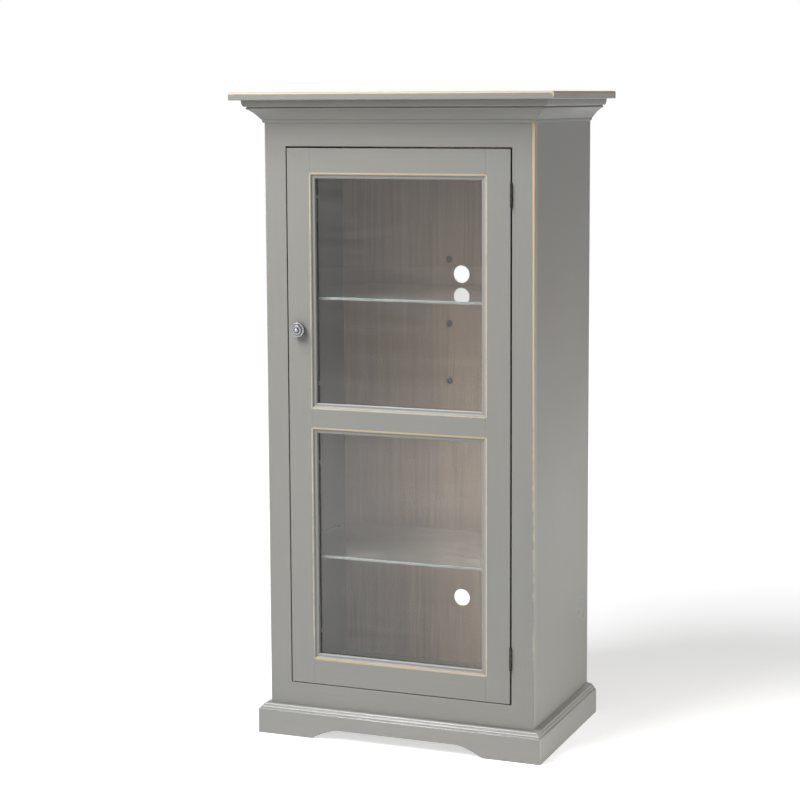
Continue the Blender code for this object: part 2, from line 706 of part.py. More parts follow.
def make_shelf_pins():
    """Four collared pins under each shelf, sunk in the sides."""
    mesh = bmesh.new()
    collar = (PIN_COLLAR_RADIUS, PIN_SINK + SEAM_GAP)
    top = (PIN_COLLAR_RADIUS, PIN_SINK + SEAM_GAP + PIN_COLLAR_THICK)
    end = PIN_SINK + PIN_SHOW
    outline = [(0, 0), (PIN_RADIUS, 0), (PIN_RADIUS, collar[1]), collar, top]
    outline += [(PIN_RADIUS, top[1]), (PIN_RADIUS, end), (0, end)]
    add_turned(mesh, outline, Matrix(), PIN_SIDES)
    data = to_data("shelf_pin", mesh, "bright_steel", smooth=True)
    for level, places in zip(("upper", "lower"), shelf_pin_places()):
        for end, (depth, height) in zip(("front", "back"), places):
            for hand, side in (("left", -1), ("right", 1)):
                start = (side * (INSIDE_HALF + PIN_SINK), depth, height)
                place("_".join(("shelf_pin", level, end, hand)), data, along((-side, 0, 0), start))


def make_shelves():
    """Both glass shelves on their pins."""
    make_shelf("glass_shelf_upper", UPPER_SHELF_HEIGHT)
    make_shelf("glass_shelf_lower", LOWER_SHELF_HEIGHT)
    make_shelf_pins()


def make_case():
    """Sides, decks, back and their fittings."""
    make_side_panel("side_panel_left", -1)
    make_side_panel("side_panel_right", 1)
    make_decks()
    make_back_panel()
    make_plugs()
    make_shelves()


# Hinges

def leaf_outline(side):
    """Return a leaf and its rolled knuckle in plan, -1 the door's leaf or 1 the frame's."""
    start = HALF_TURN
    angles = [start + CURL_SWEEP * step / CURL_STEPS for step in range(CURL_STEPS + 1)]
    outer = [(HINGE_RADIUS * math.cos(a), HINGE_RADIUS * math.sin(a)) for a in angles]
    inner = [(HINGE_BORE * math.cos(a), HINGE_BORE * math.sin(a)) for a in reversed(angles)]
    points = [(-HINGE_RADIUS, HINGE_LEAF_REACH)] + outer + inner + [(-HINGE_BORE, HINGE_LEAF_REACH)]
    return [(HINGE_X - side * x, HINGE_Y + y) for x, y in points]


def make_leaf(name, side, centre, other_knuckles):
    """Leaf with rolled knuckles, cleared where the other leaf's knuckles are."""
    mesh = bmesh.new()
    low, high = spread(centre, HINGE_HEIGHT)
    add_prism(mesh, leaf_outline(side), "Z", (low, high))
    leaf = to_object(name, mesh, "aged_steel", smooth=True)
    cutter = bmesh.new()
    size = HINGE_HEIGHT / HINGE_KNUCKLES
    reach = HINGE_RADIUS + SEAM_GAP
    for index in other_knuckles:
        start = low - OVERRUN if index == 0 else low + index * size - SEAM_GAP * HALF_SHARE
        last = index == HINGE_KNUCKLES - 1
        stop = high + OVERRUN if last else low + (index + 1) * size + SEAM_GAP * HALF_SHARE
        x_span = (HINGE_X - reach, HINGE_X + reach)
        y_span = (HINGE_Y - reach, HINGE_Y + reach)
        add_box(cutter, x_span, y_span, (start, stop))
    combine(leaf, make_cutter("cut_" + name, cutter), "DIFFERENCE")
    return leaf


def make_hinge_pin(name, centre):
    """Headed pin through the knuckles."""
    mesh = bmesh.new()
    low, high = spread(centre, HINGE_HEIGHT)
    seat = high + SEAM_GAP
    outline = [(0, low), (HINGE_PIN_RADIUS, low), (HINGE_PIN_RADIUS, seat), (HINGE_HEAD_RADIUS, seat)]
    outline += [(HINGE_HEAD_RADIUS, seat + HINGE_HEAD_HEIGHT), (0, seat + HINGE_HEAD_HEIGHT)]
    add_turned(mesh, outline, Matrix.Translation((HINGE_X, HINGE_Y, 0)), PIN_SIDES)
    to_object(name, mesh, "aged_steel", smooth=True)


def make_hinges():
    """Both butt hinges, and return the leaves that move."""
    even = range(0, HINGE_KNUCKLES, 2)
    odd = range(1, HINGE_KNUCKLES, 2)
    moving = []
    for place, centre in (("upper", UPPER_HINGE_HEIGHT), ("lower", LOWER_HINGE_HEIGHT)):
        make_leaf("hinge_leaf_frame_" + place, 1, centre, odd)
        moving.append(make_leaf("hinge_leaf_door_" + place, -1, centre, even))
        make_hinge_pin("hinge_pin_" + place, centre)
    return moving


# Door

def edge_section(grow=0):
    """Return the glazed edge's section as reach toward the glass and depth from the front."""
    round_end = (BEAD_ROUND_WIDTH, BEAD_ROUND_DEPTH)
    fillet_end = (round_end[0] + BEAD_FILLET_WIDTH, round_end[1] + BEAD_FILLET_DEPTH)
    points = [(0, 0)] + quarter_round((0, 0), round_end, ROUND_STEPS) + [fillet_end]
    points += quarter_round(fillet_end, (BEAD_WIDTH, BEAD_DEPTH), ROUND_STEPS)
    points = [(reach + grow, depth - grow) for reach, depth in points]
    points += [(BEAD_WIDTH + grow, LIP_DEPTH + grow), (RABBET_REACH + grow, LIP_DEPTH + grow)]
    return points


def stile_outline(side):
    """Return a door stile's section in plan."""
    points = [(-DOOR_STILE_FLAT, 0)] + edge_section()
    points += [(RABBET_REACH, DOOR_THICK), (-DOOR_STILE_FLAT, DOOR_THICK)]
    return [(DOOR_MIDDLE + side * (LIGHT_HALF - reach), FRONT_Y + depth) for reach, depth in points]


def cope_cutter(name, side):
    """Return a stile's section grown by the seam gap, to cope the rails over it."""
    points = [(-DOOR_STILE_FLAT, -OVERRUN), (SEAM_GAP, -OVERRUN)] + edge_section(SEAM_GAP)
    back = DOOR_THICK + OVERRUN
    points += [(RABBET_REACH + SEAM_GAP, back), (-DOOR_STILE_FLAT, back)]
    middle = DOOR_MIDDLE
    outline = [(middle + side * (LIGHT_HALF - reach), FRONT_Y + depth) for reach, depth in points]
    mesh = bmesh.new()
    add_prism(mesh, outline, "Z", (DOOR_LOW - OVERRUN, DOOR_HIGH + OVERRUN))
    return make_cutter(name, mesh)


def door_rails():
    """Return each rail's name and the limits of its flat, with the glazed edges marked."""
    return (
        ("door_rail_top", UPPER_LIGHT[1], DOOR_HIGH, True, False),
        ("door_rail_mid", MID_RAIL_LOW, MID_RAIL_HIGH, True, True),
        ("door_rail_bottom", DOOR_LOW, LOWER_LIGHT[0], False, True),
    )


def rail_outline(low, high, glazed_below, glazed_above):
    """Return a rail's section in depth and height."""
    section = edge_section() + [(RABBET_REACH, DOOR_THICK)]
    plain = [(0, 0), (0, DOOR_THICK)]
    below = section if glazed_below else plain
    above = section if glazed_above else plain
    points = [(FRONT_Y + depth, high + reach) for reach, depth in above]
    points += [(FRONT_Y + depth, low - reach) for reach, depth in reversed(below)]
    return points


def tenon_heights(low, high):
    """Return the height limits of a door rail's tenons."""
    return (low + DOOR_TENON_SHOULDER, high - DOOR_TENON_SHOULDER)


def door_span(side, inner, outer):
    """Return limits in X for one side of the door's middle."""
    return tuple(DOOR_MIDDLE + x for x in mirrored(side, inner, outer))


def make_door_rail(name, low, high, glazed_below, glazed_above, copes):
    """Moulded rail, coped over the stiles' beads and tenoned into them."""
    mesh = bmesh.new()
    outline = rail_outline(low, high, glazed_below, glazed_above)
    add_prism(mesh, outline, "X", (DOOR_MIDDLE - LIGHT_HALF, DOOR_MIDDLE + LIGHT_HALF))
    rail = to_object(name, mesh, "grey_paint", smooth=True)
    for cope in copes:
        combine(rail, cope, "DIFFERENCE")
    tenons = bmesh.new()
    root = LIGHT_HALF - RABBET_REACH - SEAM_GAP
    y_span = (FRONT_Y + DOOR_TENON_FRONT, FRONT_Y + DOOR_TENON_BACK)
    for side in (-1, 1):
        x_span = door_span(side, root - OVERRUN, LIGHT_HALF + DOOR_TENON_LENGTH)
        add_box(tenons, x_span, y_span, tenon_heights(low, high))
    combine(rail, make_cutter("tenons_" + name, tenons), "UNION")
    return rail


def make_door_stile(name, side):
    """Moulded stile, mortised for the rails."""
    mesh = bmesh.new()
    add_prism(mesh, stile_outline(side), "Z", (DOOR_LOW, DOOR_HIGH))
    stile = to_object(name, mesh, "grey_paint", smooth=True)
    cutter = bmesh.new()
    root = LIGHT_HALF - RABBET_REACH
    x_span = door_span(side, root - OVERRUN, LIGHT_HALF + DOOR_TENON_LENGTH + SEAM_GAP)
    y_span = (FRONT_Y + DOOR_TENON_FRONT - SEAM_GAP, FRONT_Y + DOOR_TENON_BACK + SEAM_GAP)
    for _, low, high, _, _ in door_rails():
        start, stop = tenon_heights(low, high)
        add_box(cutter, x_span, y_span, (start - SEAM_GAP, stop + SEAM_GAP))
    combine(stile, make_cutter("cut_" + name, cutter), "DIFFERENCE")
    return stile


def pocket_door_stile(stile):
    """Sink the hinge leaves into the door's right edge."""
    cutter = bmesh.new()
    for heights in hinge_pocket_heights():
        add_box(cutter, (HINGE_X - pocket_depth(), HINGE_X), hinge_pocket_span(), heights)
    combine(stile, make_cutter("cut_door_pockets", cutter), "DIFFERENCE")


def drill_door_stile(stile):
    """Drill the left stile for the knob's screw."""
    cutter = bmesh.new()
    start = (KNOB_X, FRONT_Y - OVERRUN, KNOB_HEIGHT)
    length = DOOR_THICK + OVERRUN + OVERRUN
    add_cylinder(cutter, SCREW_RADIUS + SCREW_CLEARANCE, length, along((0, 1, 0), start), PIN_SIDES)
    combine(stile, make_cutter("cut_screw_hole", cutter), "DIFFERENCE")


def make_pane(name, light):
    """Door glass in the rabbet behind the lip."""
    mesh = bmesh.new()
    room = RABBET_REACH + PANE_CLEARANCE
    reach = LIGHT_HALF - room
    front = FRONT_Y + LIP_DEPTH + SEAM_GAP
    x_span = (DOOR_MIDDLE - reach, DOOR_MIDDLE + reach)
    add_box(mesh, x_span, (front, front + PANE_THICK), (light[0] + room, light[1] - room))
    return to_object(name, mesh, "clear_glass")


def clip_outline(side):
    """Return a stepped clip in plan, from the stile's back down onto the glass."""
    wall = RABBET_REACH + SEAM_GAP
    tip = BEAD_WIDTH + CLIP_SHOW
    glass = LIP_DEPTH + SEAM_GAP + PANE_THICK + SEAM_GAP
    back = DOOR_THICK + SEAM_GAP
    points = [(wall - CLIP_FOOT, back), (wall, back), (wall, glass), (tip, glass)]
    points += [(tip, glass + CLIP_THICK), (wall + CLIP_THICK, glass + CLIP_THICK)]
    points += [(wall + CLIP_THICK, back + CLIP_THICK), (wall - CLIP_FOOT, back + CLIP_THICK)]
    return [(-side * reach, depth) for reach, depth in points]


def clip_places():
    """Return each clip's name ending and height."""
    places = []
    upper = ("upper", UPPER_LIGHT, UPPER_CLIP_SHARES)
    lower = ("lower", LOWER_LIGHT, LOWER_CLIP_SHARES)
    for pane, light, shares in (upper, lower):
        for end, share in zip(("bottom", "top"), shares):
            places.append((pane + "_" + end, light[0] + share * (light[1] - light[0])))
    return places


def make_clips():
    """Clips that hold the panes, two on each stile for each pane."""
    clips = []
    for hand, side in (("left", -1), ("right", 1)):
        mesh = bmesh.new()
        add_prism(mesh, clip_outline(side), "Z", spread(0, CLIP_HEIGHT))
        data = to_data("glass_clip_" + hand, mesh, "bright_steel")
        for ending, height in clip_places():
            matrix = Matrix.Translation((DOOR_MIDDLE + side * LIGHT_HALF, FRONT_Y, height))
            clips.append(place("glass_clip_" + ending + "_" + hand, data, matrix))
    return clips


def step_rounds(radius, front, inner):
    """Return one turned step, rounded at its rim, down to the groove inside it."""
    edge = KNOB_EDGE_ROUND
    rim = quarter_round((radius - edge, front), (radius, front - edge), KNOB_STEPS)
    points = [point for point in reversed(rim)] + [(radius - edge, front)]
    groove = front - KNOB_EDGE_ROUND - KNOB_GROOVE_DEPTH
    points += [(inner + KNOB_GROOVE_WIDTH, front), (inner + KNOB_GROOVE_WIDTH, groove)]
    points += [(inner, groove)]
    return points


def knob_outline():
    """Return the knob's turned outline as radius and distance from the door."""
    rim_front = KNOB_NECK_LENGTH + KNOB_RIM_LENGTH
    ring_front = rim_front + KNOB_RING_STEP
    button_front = ring_front + KNOB_BUTTON_STEP
    flare = (KNOB_RADIUS - KNOB_RIM_ROUND, KNOB_NECK_LENGTH + KNOB_RIM_ROUND)
    points = [(0, SEAM_GAP), (KNOB_NECK_RADIUS, SEAM_GAP)]
    points += [(KNOB_NECK_RADIUS, KNOB_NECK_LENGTH), flare]
    points += quarter_round(flare, (KNOB_RADIUS, flare[1] + KNOB_RIM_ROUND), KNOB_STEPS)
    points += step_rounds(KNOB_RADIUS, rim_front, KNOB_RING_RADIUS)
    points += step_rounds(KNOB_RING_RADIUS, ring_front, KNOB_BUTTON_RADIUS)
    dome = quarter_round((0, button_front), (KNOB_BUTTON_RADIUS, ring_front), KNOB_STEPS)
    points += [point for point in reversed(dome)] + [(0, button_front)]
    return points


def make_knob():
    """Turned knob in three steps, tapped from behind."""
    mesh = bmesh.new()
    start = (KNOB_X, FRONT_Y, KNOB_HEIGHT)
    add_turned(mesh, knob_outline(), along((0, -1, 0), start), WIDE_SIDES)
    knob = to_object("knob", mesh, "satin_silver", smooth=True)
    cutter = bmesh.new()
    root = (KNOB_X, FRONT_Y + OVERRUN, KNOB_HEIGHT)
    length = OVERRUN + KNOB_BORE_DEPTH
    add_cylinder(cutter, SCREW_RADIUS + SCREW_CLEARANCE, length, along((0, -1, 0), root), PIN_SIDES)
    combine(knob, make_cutter("cut_knob_bore", cutter), "DIFFERENCE")
    return knob


def make_knob_screw():
    """Screw through the stile into the knob, its head on the door's back."""
    mesh = bmesh.new()
    head = SCREW_HEAD_HEIGHT
    length = head + SEAM_GAP + DOOR_THICK + SCREW_BITE
    outline = [(0, 0)] + quarter_round((0, 0), (SCREW_HEAD_RADIUS, head), KNOB_STEPS)
    outline += [(SCREW_RADIUS, head), (SCREW_RADIUS, length), (0, length)]
    start = (KNOB_X, DOOR_BACK_Y + SEAM_GAP + head, KNOB_HEIGHT)
    add_turned(mesh, outline, along((0, -1, 0), start), PIN_SIDES)
    return to_object("knob_screw", mesh, "bright_steel", smooth=True)


def strike_span():
    """Return the strike plate's limits in X, near the door's left edge."""
    start = DOOR_LEFT + STRIKE_EDGE
    return (start, start + STRIKE_WIDTH)


def make_strike():
    """Strike plate on the door's back for the magnetic catch."""
    mesh = bmesh.new()
    front = DOOR_BACK_Y + SEAM_GAP
    add_box(mesh, strike_span(), (front, front + STRIKE_THICK), spread(KNOB_HEIGHT, STRIKE_HEIGHT))
    return to_object("strike_plate", mesh, "bright_steel")


def make_door():
    """All pieces of the door, glass and fittings included."""
    copes = (cope_cutter("cope_left", -1), cope_cutter("cope_right", 1))
    left = make_door_stile("door_stile_left", -1)
    drill_door_stile(left)
    right = make_door_stile("door_stile_right", 1)
    pocket_door_stile(right)
    pieces = [left, right]
    pieces += [make_door_rail(*rail, copes) for rail in door_rails()]
    pieces.append(make_pane("door_glass_upper", UPPER_LIGHT))
    pieces.append(make_pane("door_glass_lower", LOWER_LIGHT))
    pieces += make_clips()
    pieces += [make_knob(), make_knob_screw(), make_strike()]
    return pieces


def hang_door(pieces):
    """Parent the door's pieces to an empty on the hinge axis."""
    axis = bpy.data.objects.new("door_axis", None)
    axis.location = (HINGE_X, HINGE_Y, UPPER_HINGE_HEIGHT)
    bpy.context.scene.collection.objects.link(axis)
    for piece in pieces:
        piece.parent = axis
        piece.location = piece.location - axis.location


# Magnetic catch

def catch_limits():
    """Return the catch's nose limits in X and the depth of its front."""
    nose_end = strike_span()[0] + CATCH_NOSE_WIDTH
    front = DOOR_BACK_Y + SEAM_GAP + STRIKE_THICK + SEAM_GAP + POLE_SHOW
    return (-OPENING_HALF, nose_end), front


def pole_limits():
    """Return the pole plate's outer and inner limits in X, about the strike plate's middle."""
    strike = strike_span()
    middle = (strike[0] + strike[1]) * HALF_SHARE
    return spread(middle, POLE_SPACING + POLE_THICK), spread(middle, POLE_SPACING - POLE_THICK)


def make_catch():
    """Catch housing behind the left stile, with a nose that faces the strike plate."""
    nose, nose_front = catch_limits()
    base_front = FRONT_Y + FRAME_THICK + SEAM_GAP
    back = base_front + CATCH_DEPTH
    base = -OPENING_HALF - CATCH_BASE_WIDTH
    outline = [(base, base_front), (nose[0], base_front), (nose[0], nose_front)]
    outline += [(nose[1], nose_front), (nose[1], back), (base, back)]
    mesh = bmesh.new()
    add_prism(mesh, outline, "Z", spread(KNOB_HEIGHT, CATCH_HEIGHT))
    housing = to_object("catch_body", mesh, "grey_plastic")
    cutter = bmesh.new()
    outer, _ = pole_limits()
    wide = (outer[0] - SEAM_GAP, outer[1] + SEAM_GAP)
    tall = spread(KNOB_HEIGHT, POLE_HEIGHT + SEAM_GAP + SEAM_GAP)
    add_box(cutter, wide, (nose_front - OVERRUN, nose_front + POLE_SINK + SEAM_GAP), tall)
    combine(housing, make_cutter("cut_catch", cutter), "DIFFERENCE")


def make_poles():
    """Steel plate folded into the two poles that the strike plate meets."""
    outer, inner = pole_limits()
    nose_front = catch_limits()[1]
    front = nose_front - POLE_SHOW
    back = nose_front + POLE_SINK
    web = back - POLE_THICK
    outline = [(outer[0], front), (inner[0], front), (inner[0], web), (inner[1], web)]
    outline += [(inner[1], front), (outer[1], front), (outer[1], back), (outer[0], back)]
    mesh = bmesh.new()
    add_prism(mesh, outline, "Z", spread(KNOB_HEIGHT, POLE_HEIGHT))
    to_object("catch_poles", mesh, "bright_steel")


def main():
    clear_scene()
    make_slab()
    make_crown()
    make_plinth()
    make_corner_blocks()
    make_face_frame()
    make_case()
    moving_leaves = make_hinges()
    hang_door(make_door() + moving_leaves)
    make_catch()
    make_poles()
    bpy.context.view_layer.update()


main()
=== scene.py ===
"""Looks of a tall painted audio cabinet with one framed glass door.

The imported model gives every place. Metres, +Z up, -Y to the front.
"""
import math

import bmesh
import bpy
from mathutils import Matrix, Vector


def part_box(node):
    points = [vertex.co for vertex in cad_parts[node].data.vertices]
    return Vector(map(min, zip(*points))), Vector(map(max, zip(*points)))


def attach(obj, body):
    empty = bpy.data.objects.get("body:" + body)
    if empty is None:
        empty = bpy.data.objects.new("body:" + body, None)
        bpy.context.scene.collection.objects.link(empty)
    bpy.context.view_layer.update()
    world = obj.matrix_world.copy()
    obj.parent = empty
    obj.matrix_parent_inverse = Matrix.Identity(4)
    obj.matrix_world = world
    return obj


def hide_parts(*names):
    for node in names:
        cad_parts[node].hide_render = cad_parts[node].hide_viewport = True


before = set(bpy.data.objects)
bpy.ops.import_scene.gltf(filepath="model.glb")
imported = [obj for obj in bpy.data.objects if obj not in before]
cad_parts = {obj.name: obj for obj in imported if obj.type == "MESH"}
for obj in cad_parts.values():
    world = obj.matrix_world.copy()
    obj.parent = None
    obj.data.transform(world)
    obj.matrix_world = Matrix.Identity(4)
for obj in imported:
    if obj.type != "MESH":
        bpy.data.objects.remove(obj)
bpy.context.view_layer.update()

# Sizes in metres
TOUCH = 0.00002
SEAM = 0.0003
ARRIS_EASE = 0.0011
TOP_ARRIS_EASE = 0.0026
CORNER_EASE = 0.0022
BEAD_RUB_WIDTH = 0.0030
HEAD_RUB_WIDTH = 0.0027
SILL_RUB_WIDTH = 0.0034
CORNER_RUB_WIDTH = 0.0086
FOOT_RUB_WIDTH = 0.0030
CAP_HIGHLIGHT_WIDTH = 0.0017
SLAB_RUB_WIDTH = 0.0081
SIDE_RUB_AND_HIGHLIGHT_WIDTH = 0.0048
SLAB_ROUND = 0.0045
RUB_END = 0.0016
PANE_TO_BEAD = 0.0052
BEAD_WIDTH = 0.012
NOSE_DROP = 0.0165
HOUSING = 0.006
SHELF_EASE = 0.0007

# Counts, shares and angles
ROUND_SIDES = 96
SCREW_SIDES = 32
NAIL_SIDES = 20
MITRE_SHARE = 0.71
SHARP_DEGREES = 35
FLAT = 0.99999
FACING = 0.99
SCREW_TURN = 2.1
NAIL_WAVE = 2.3

# How far each line is rubbed, from its low end to its high end.
# About 0.5 shows the undercoat and 0.9 the bare wood.
SLAB_FRONT_RUB = (1.1, 1.0)
SLAB_LEFT_RUB = (1.0, 0.9)
# The top's right edge is rubbed past bare wood: wear and a painted highlight
SLAB_RIGHT_RUB_AND_HIGHLIGHT = (1.3, 1.2)
CHIP_RUB = (0.3, 0.8)
FOOT_RUB = (0.42, 0.5)
LEFT_CORNER_RUB = (0.4, 0.55)
RIGHT_CORNER_RUB = (0.36, 0.46, 0.56, 0.85, 1.6)
BACK_CORNER_RUB = (0.4, 0.5)
LEFT_BEAD_RUB = (0.5, 0.6)
RIGHT_BEAD_RUB = (0.58, 0.62)
HEAD_RUB = (0.9, 1.0)
SILL_RUB = (0.95, 0.8)
PALE_SILL_RUB = (0.6, 0.55)
# Reach from the case, drop from the top and strength of the painted highlight line along each of the plinth cap's two
# upper arrises
CAP_HIGHLIGHT_ARRISES = ((0.012, 0.0035, 0.66), (0.0195, 0.0135, 0.5))

# Wear at which the undercoat and the bare wood start and are whole, and how ragged their edges are
UNDERCOAT_STARTS, UNDERCOAT_WHOLE = 0.34, 0.54
BARE_STARTS, BARE_WHOLE = 0.68, 0.92
RAGGEDNESS = 0.5
SATIN_SHINE = 0.36
SIDE_SHINE = 0.14
WAXED_SHINE = 0.2
WAX_ROUGHNESS = 0.12
GLASS_IOR = 1.5
PAINT_IOR = 1.5

# Most of a noise lies between these values
NOISE_SPAN = {"From Min": 0.3, "From Max": 0.7}
SMOOTH = {"interpolation_type": "SMOOTHSTEP"}
COLOUR = {"data_type": "RGBA"}

# Colours as sRGB hex
GREY_PAINT_WARM = "A09D97"
GREY_PAINT_COOL = "9A9B98"
# Darker paint for the faces inside the door's gaps: painted shade
GAP_SHADE_PAINT_WARM = "55524D"
GAP_SHADE_PAINT_COOL = "4C4A47"
# Inside paint, darker than the outside grey as painted shade within the case
INSIDE_SHADE_WARM = "6F6861"
INSIDE_SHADE_COOL = "625D59"
CREAM_UNDERCOAT = "D6C9B2"
# Pale paint for the plinth's worn feet, and for the painted highlight lines along its cap
PALE_WEAR_AND_PAINTED_HIGHLIGHT = "D3D6DB"
RUBBED_MAPLE = "D2B070"
PALE_MAPLE = "DCC096"
GOLDEN_MAPLE = "D2AE70"
# Darker paint for the crown's right return: painted shade
RETURN_SHADE_PAINT_WARM = "8E8C87"
RETURN_SHADE_PAINT_COOL = "888986"
PLY_LIGHT = "A68D7A"
PLY_DARK = "8B7565"
PINE_LIGHT = "D2AE7C"
PINE_DARK = "AE8150"
GLASS_TINT = "FAFCFB"
SHELF_TINT = "F6F8F6"
GROUND_EDGE = "838886"
SATIN_NICKEL = "A9AAAE"
NICKEL_GRIME = "33302C"
BLACK_STEEL = "4B4743"
STEEL_GRIME = "2A2724"
ZINC = "C9CBCC"
ZINC_DULL = "9A9C9B"
RUBBER = "3A3D3D"
PLASTIC = "8C8C88"
FLOOR_WHITE = "F2F2F2"


def linear(code):
    """Turn an sRGB hex colour into linear light."""
    parts = [int(code[start:start + 2], 16) / 255 for start in (0, 2, 4)]
    return tuple(part / 12.92 if part <= 0.04045 else ((part + 0.055) / 1.055) ** 2.4 for part in parts) + (1,)


def add(tree, kind, settings, inputs):
    """Add a node with its settings, values and links."""
    node = tree.nodes.new("ShaderNode" + kind)
    for name, value in settings.items():
        setattr(node, name, value)
    for name, value in inputs.items():
        if isinstance(value, bpy.types.NodeSocket):
            tree.links.new(value, node.inputs[name])
        else:
            node.inputs[name].default_value = value
    return node


def start_finish(name):
    """Return a new material with its tree, its shader and Object coordinates."""
    material = bpy.data.materials.new(name)
    material.use_nodes = True
    tree = material.node_tree
    shader = tree.nodes["Principled BSDF"]
    return material, tree, shader, add(tree, "TexCoord", {}, {}).outputs["Object"]


# Finishes

def grey_painted_wood(name, tones, grain_scale, bare_wood, shine=SATIN_SHINE, wax=0.0, under=CREAM_UNDERCOAT):
    """Satin paint sprayed on maple and rubbed through at the arrises.

    The eye gets a soft mottle, a trace of grain telegraphed through the film,
    and ragged lines of cream undercoat and bare wood wherever hands wear it;
    the same lines also draw painted highlights on the plinth cap and the top's right edge.
    Shine is the gloss of the film, and wax adds a harder, sharper one over it.
    """
    material, tree, shader, coords = start_finish(name)
    mottle = add(tree, "TexNoise", {}, {"Vector": coords, "Scale": 3.2, "Detail": 5.0, "Roughness": 0.6})
    stretched = add(tree, "Mapping", {}, {"Vector": coords, "Scale": grain_scale})
    grain = add(tree, "TexNoise", {}, {
        "Vector": stretched.outputs[0], "Scale": 1.0, "Detail": 4.0, "Roughness": 0.55,
    })
    patch = add(tree, "MapRange", {}, {"Value": mottle.outputs["Fac"], **NOISE_SPAN})
    tone = add(tree, "Mix", COLOUR, {0: patch.outputs[0], 6: linear(tones[0]), 7: linear(tones[1])})
    shade = add(tree, "MapRange", {}, {
        "Value": grain.outputs["Fac"], **NOISE_SPAN, "To Min": 0.985, "To Max": 1.012,
    })
    film = add(tree, "VectorMath", {"operation": "SCALE"}, {0: tone.outputs[2], "Scale": shade.outputs[0]})
    # The wear layer holds rubbed paint, and also painted highlight lines on the plinth cap and the top's right edge
    wear = add(tree, "Attribute", {"attribute_name": "wear"}, {})
    ragged = add(tree, "TexNoise", {}, {"Vector": coords, "Scale": 24.0, "Detail": 8.0, "Roughness": 0.75})
    rubbed = add(tree, "Math", {"operation": "MULTIPLY_ADD"}, {
        0: ragged.outputs["Fac"], 1: RAGGEDNESS, 2: -RAGGEDNESS / 2,
    })
    depth = add(tree, "Math", {"operation": "ADD"}, {0: wear.outputs["Fac"], 1: rubbed.outputs[0]})
    undercoat = add(tree, "MapRange", SMOOTH, {
        "Value": depth.outputs[0], "From Min": UNDERCOAT_STARTS, "From Max": UNDERCOAT_WHOLE,
    })
    bare = add(tree, "MapRange", SMOOTH, {
        "Value": depth.outputs[0], "From Min": BARE_STARTS, "From Max": BARE_WHOLE,
    })
    primed = add(tree, "Mix", COLOUR, {0: undercoat.outputs[0], 6: film.outputs[0], 7: linear(under)})
    worn = add(tree, "Mix", COLOUR, {0: bare.outputs[0], 6: primed.outputs[2], 7: linear(bare_wood)})
    # Spray leaves an orange peel of about 1.5 mm
    peel = add(tree, "TexNoise", {}, {"Vector": coords, "Scale": 650.0, "Detail": 1.0})
    gloss = add(tree, "MapRange", {}, {
        "Value": mottle.outputs["Fac"], **NOISE_SPAN, "To Min": 0.27, "To Max": 0.35,
    })
    rough = add(tree, "Math", {"operation": "MULTIPLY_ADD", "use_clamp": True}, {
        0: undercoat.outputs[0], 1: 0.15, 2: gloss.outputs[0],
    })
    lift = add(tree, "Math", {"operation": "MULTIPLY_ADD"}, {
        0: peel.outputs["Fac"], 1: 0.3, 2: grain.outputs["Fac"],
    })
    height = add(tree, "Math", {"operation": "SUBTRACT"}, {0: lift.outputs[0], 1: undercoat.outputs[0]})
    bump = add(tree, "Bump", {}, {"Strength": 0.08, "Distance": 0.0005, "Height": height.outputs[0]})
    tree.links.new(worn.outputs[2], shader.inputs["Base Color"])
    tree.links.new(rough.outputs[0], shader.inputs["Roughness"])
    tree.links.new(bump.outputs[0], shader.inputs["Normal"])
    shader.inputs["IOR"].default_value = PAINT_IOR
    shader.inputs["Specular IOR Level"].default_value = shine
    shader.inputs["Coat Weight"].default_value = wax
    shader.inputs["Coat Roughness"].default_value = WAX_ROUGHNESS
    return material


def grained_wood(name, tones, grain_scale, rough_low, rough_high):
    """Bare or lightly sealed wood: long streaks of grain, open pores and a dry surface."""
    material, tree, shader, coords = start_finish(name)
    stretched = add(tree, "Mapping", {}, {"Vector": coords, "Scale": grain_scale})
    figure = add(tree, "TexNoise", {}, {
        "Vector": stretched.outputs[0], "Scale": 1.0, "Detail": 6.0, "Roughness": 0.62, "Distortion": 0.6,
    })
    pores = add(tree, "TexNoise", {}, {
        "Vector": stretched.outputs[0], "Scale": 7.0, "Detail": 3.0, "Roughness": 0.7,
    })
    blotch = add(tree, "TexNoise", {}, {"Vector": coords, "Scale": 3.5, "Detail": 3.0})
    streak = add(tree, "MapRange", {}, {"Value": figure.outputs["Fac"], **NOISE_SPAN})
    tone = add(tree, "Mix", COLOUR, {0: streak.outputs[0], 6: linear(tones[0]), 7: linear(tones[1])})
    open_pore = add(tree, "MapRange", {}, {
        "Value": pores.outputs["Fac"], "From Min": 0.35, "From Max": 0.6, "To Min": 0.86, "To Max": 1.02,
    })
    patch = add(tree, "MapRange", {}, {
        "Value": blotch.outputs["Fac"], **NOISE_SPAN, "To Min": 0.93, "To Max": 1.06,
    })
    shade = add(tree, "Math", {"operation": "MULTIPLY"}, {0: open_pore.outputs[0], 1: patch.outputs[0]})
    colour = add(tree, "VectorMath", {"operation": "SCALE"}, {0: tone.outputs[2], "Scale": shade.outputs[0]})
    rough = add(tree, "MapRange", {}, {
        "Value": pores.outputs["Fac"], "To Min": rough_high, "To Max": rough_low,
    })
    bump = add(tree, "Bump", {}, {"Strength": 0.15, "Distance": 0.0005, "Height": pores.outputs["Fac"]})
    tree.links.new(colour.outputs[0], shader.inputs["Base Color"])
    tree.links.new(rough.outputs[0], shader.inputs["Roughness"])
    tree.links.new(bump.outputs[0], shader.inputs["Normal"])
    return material


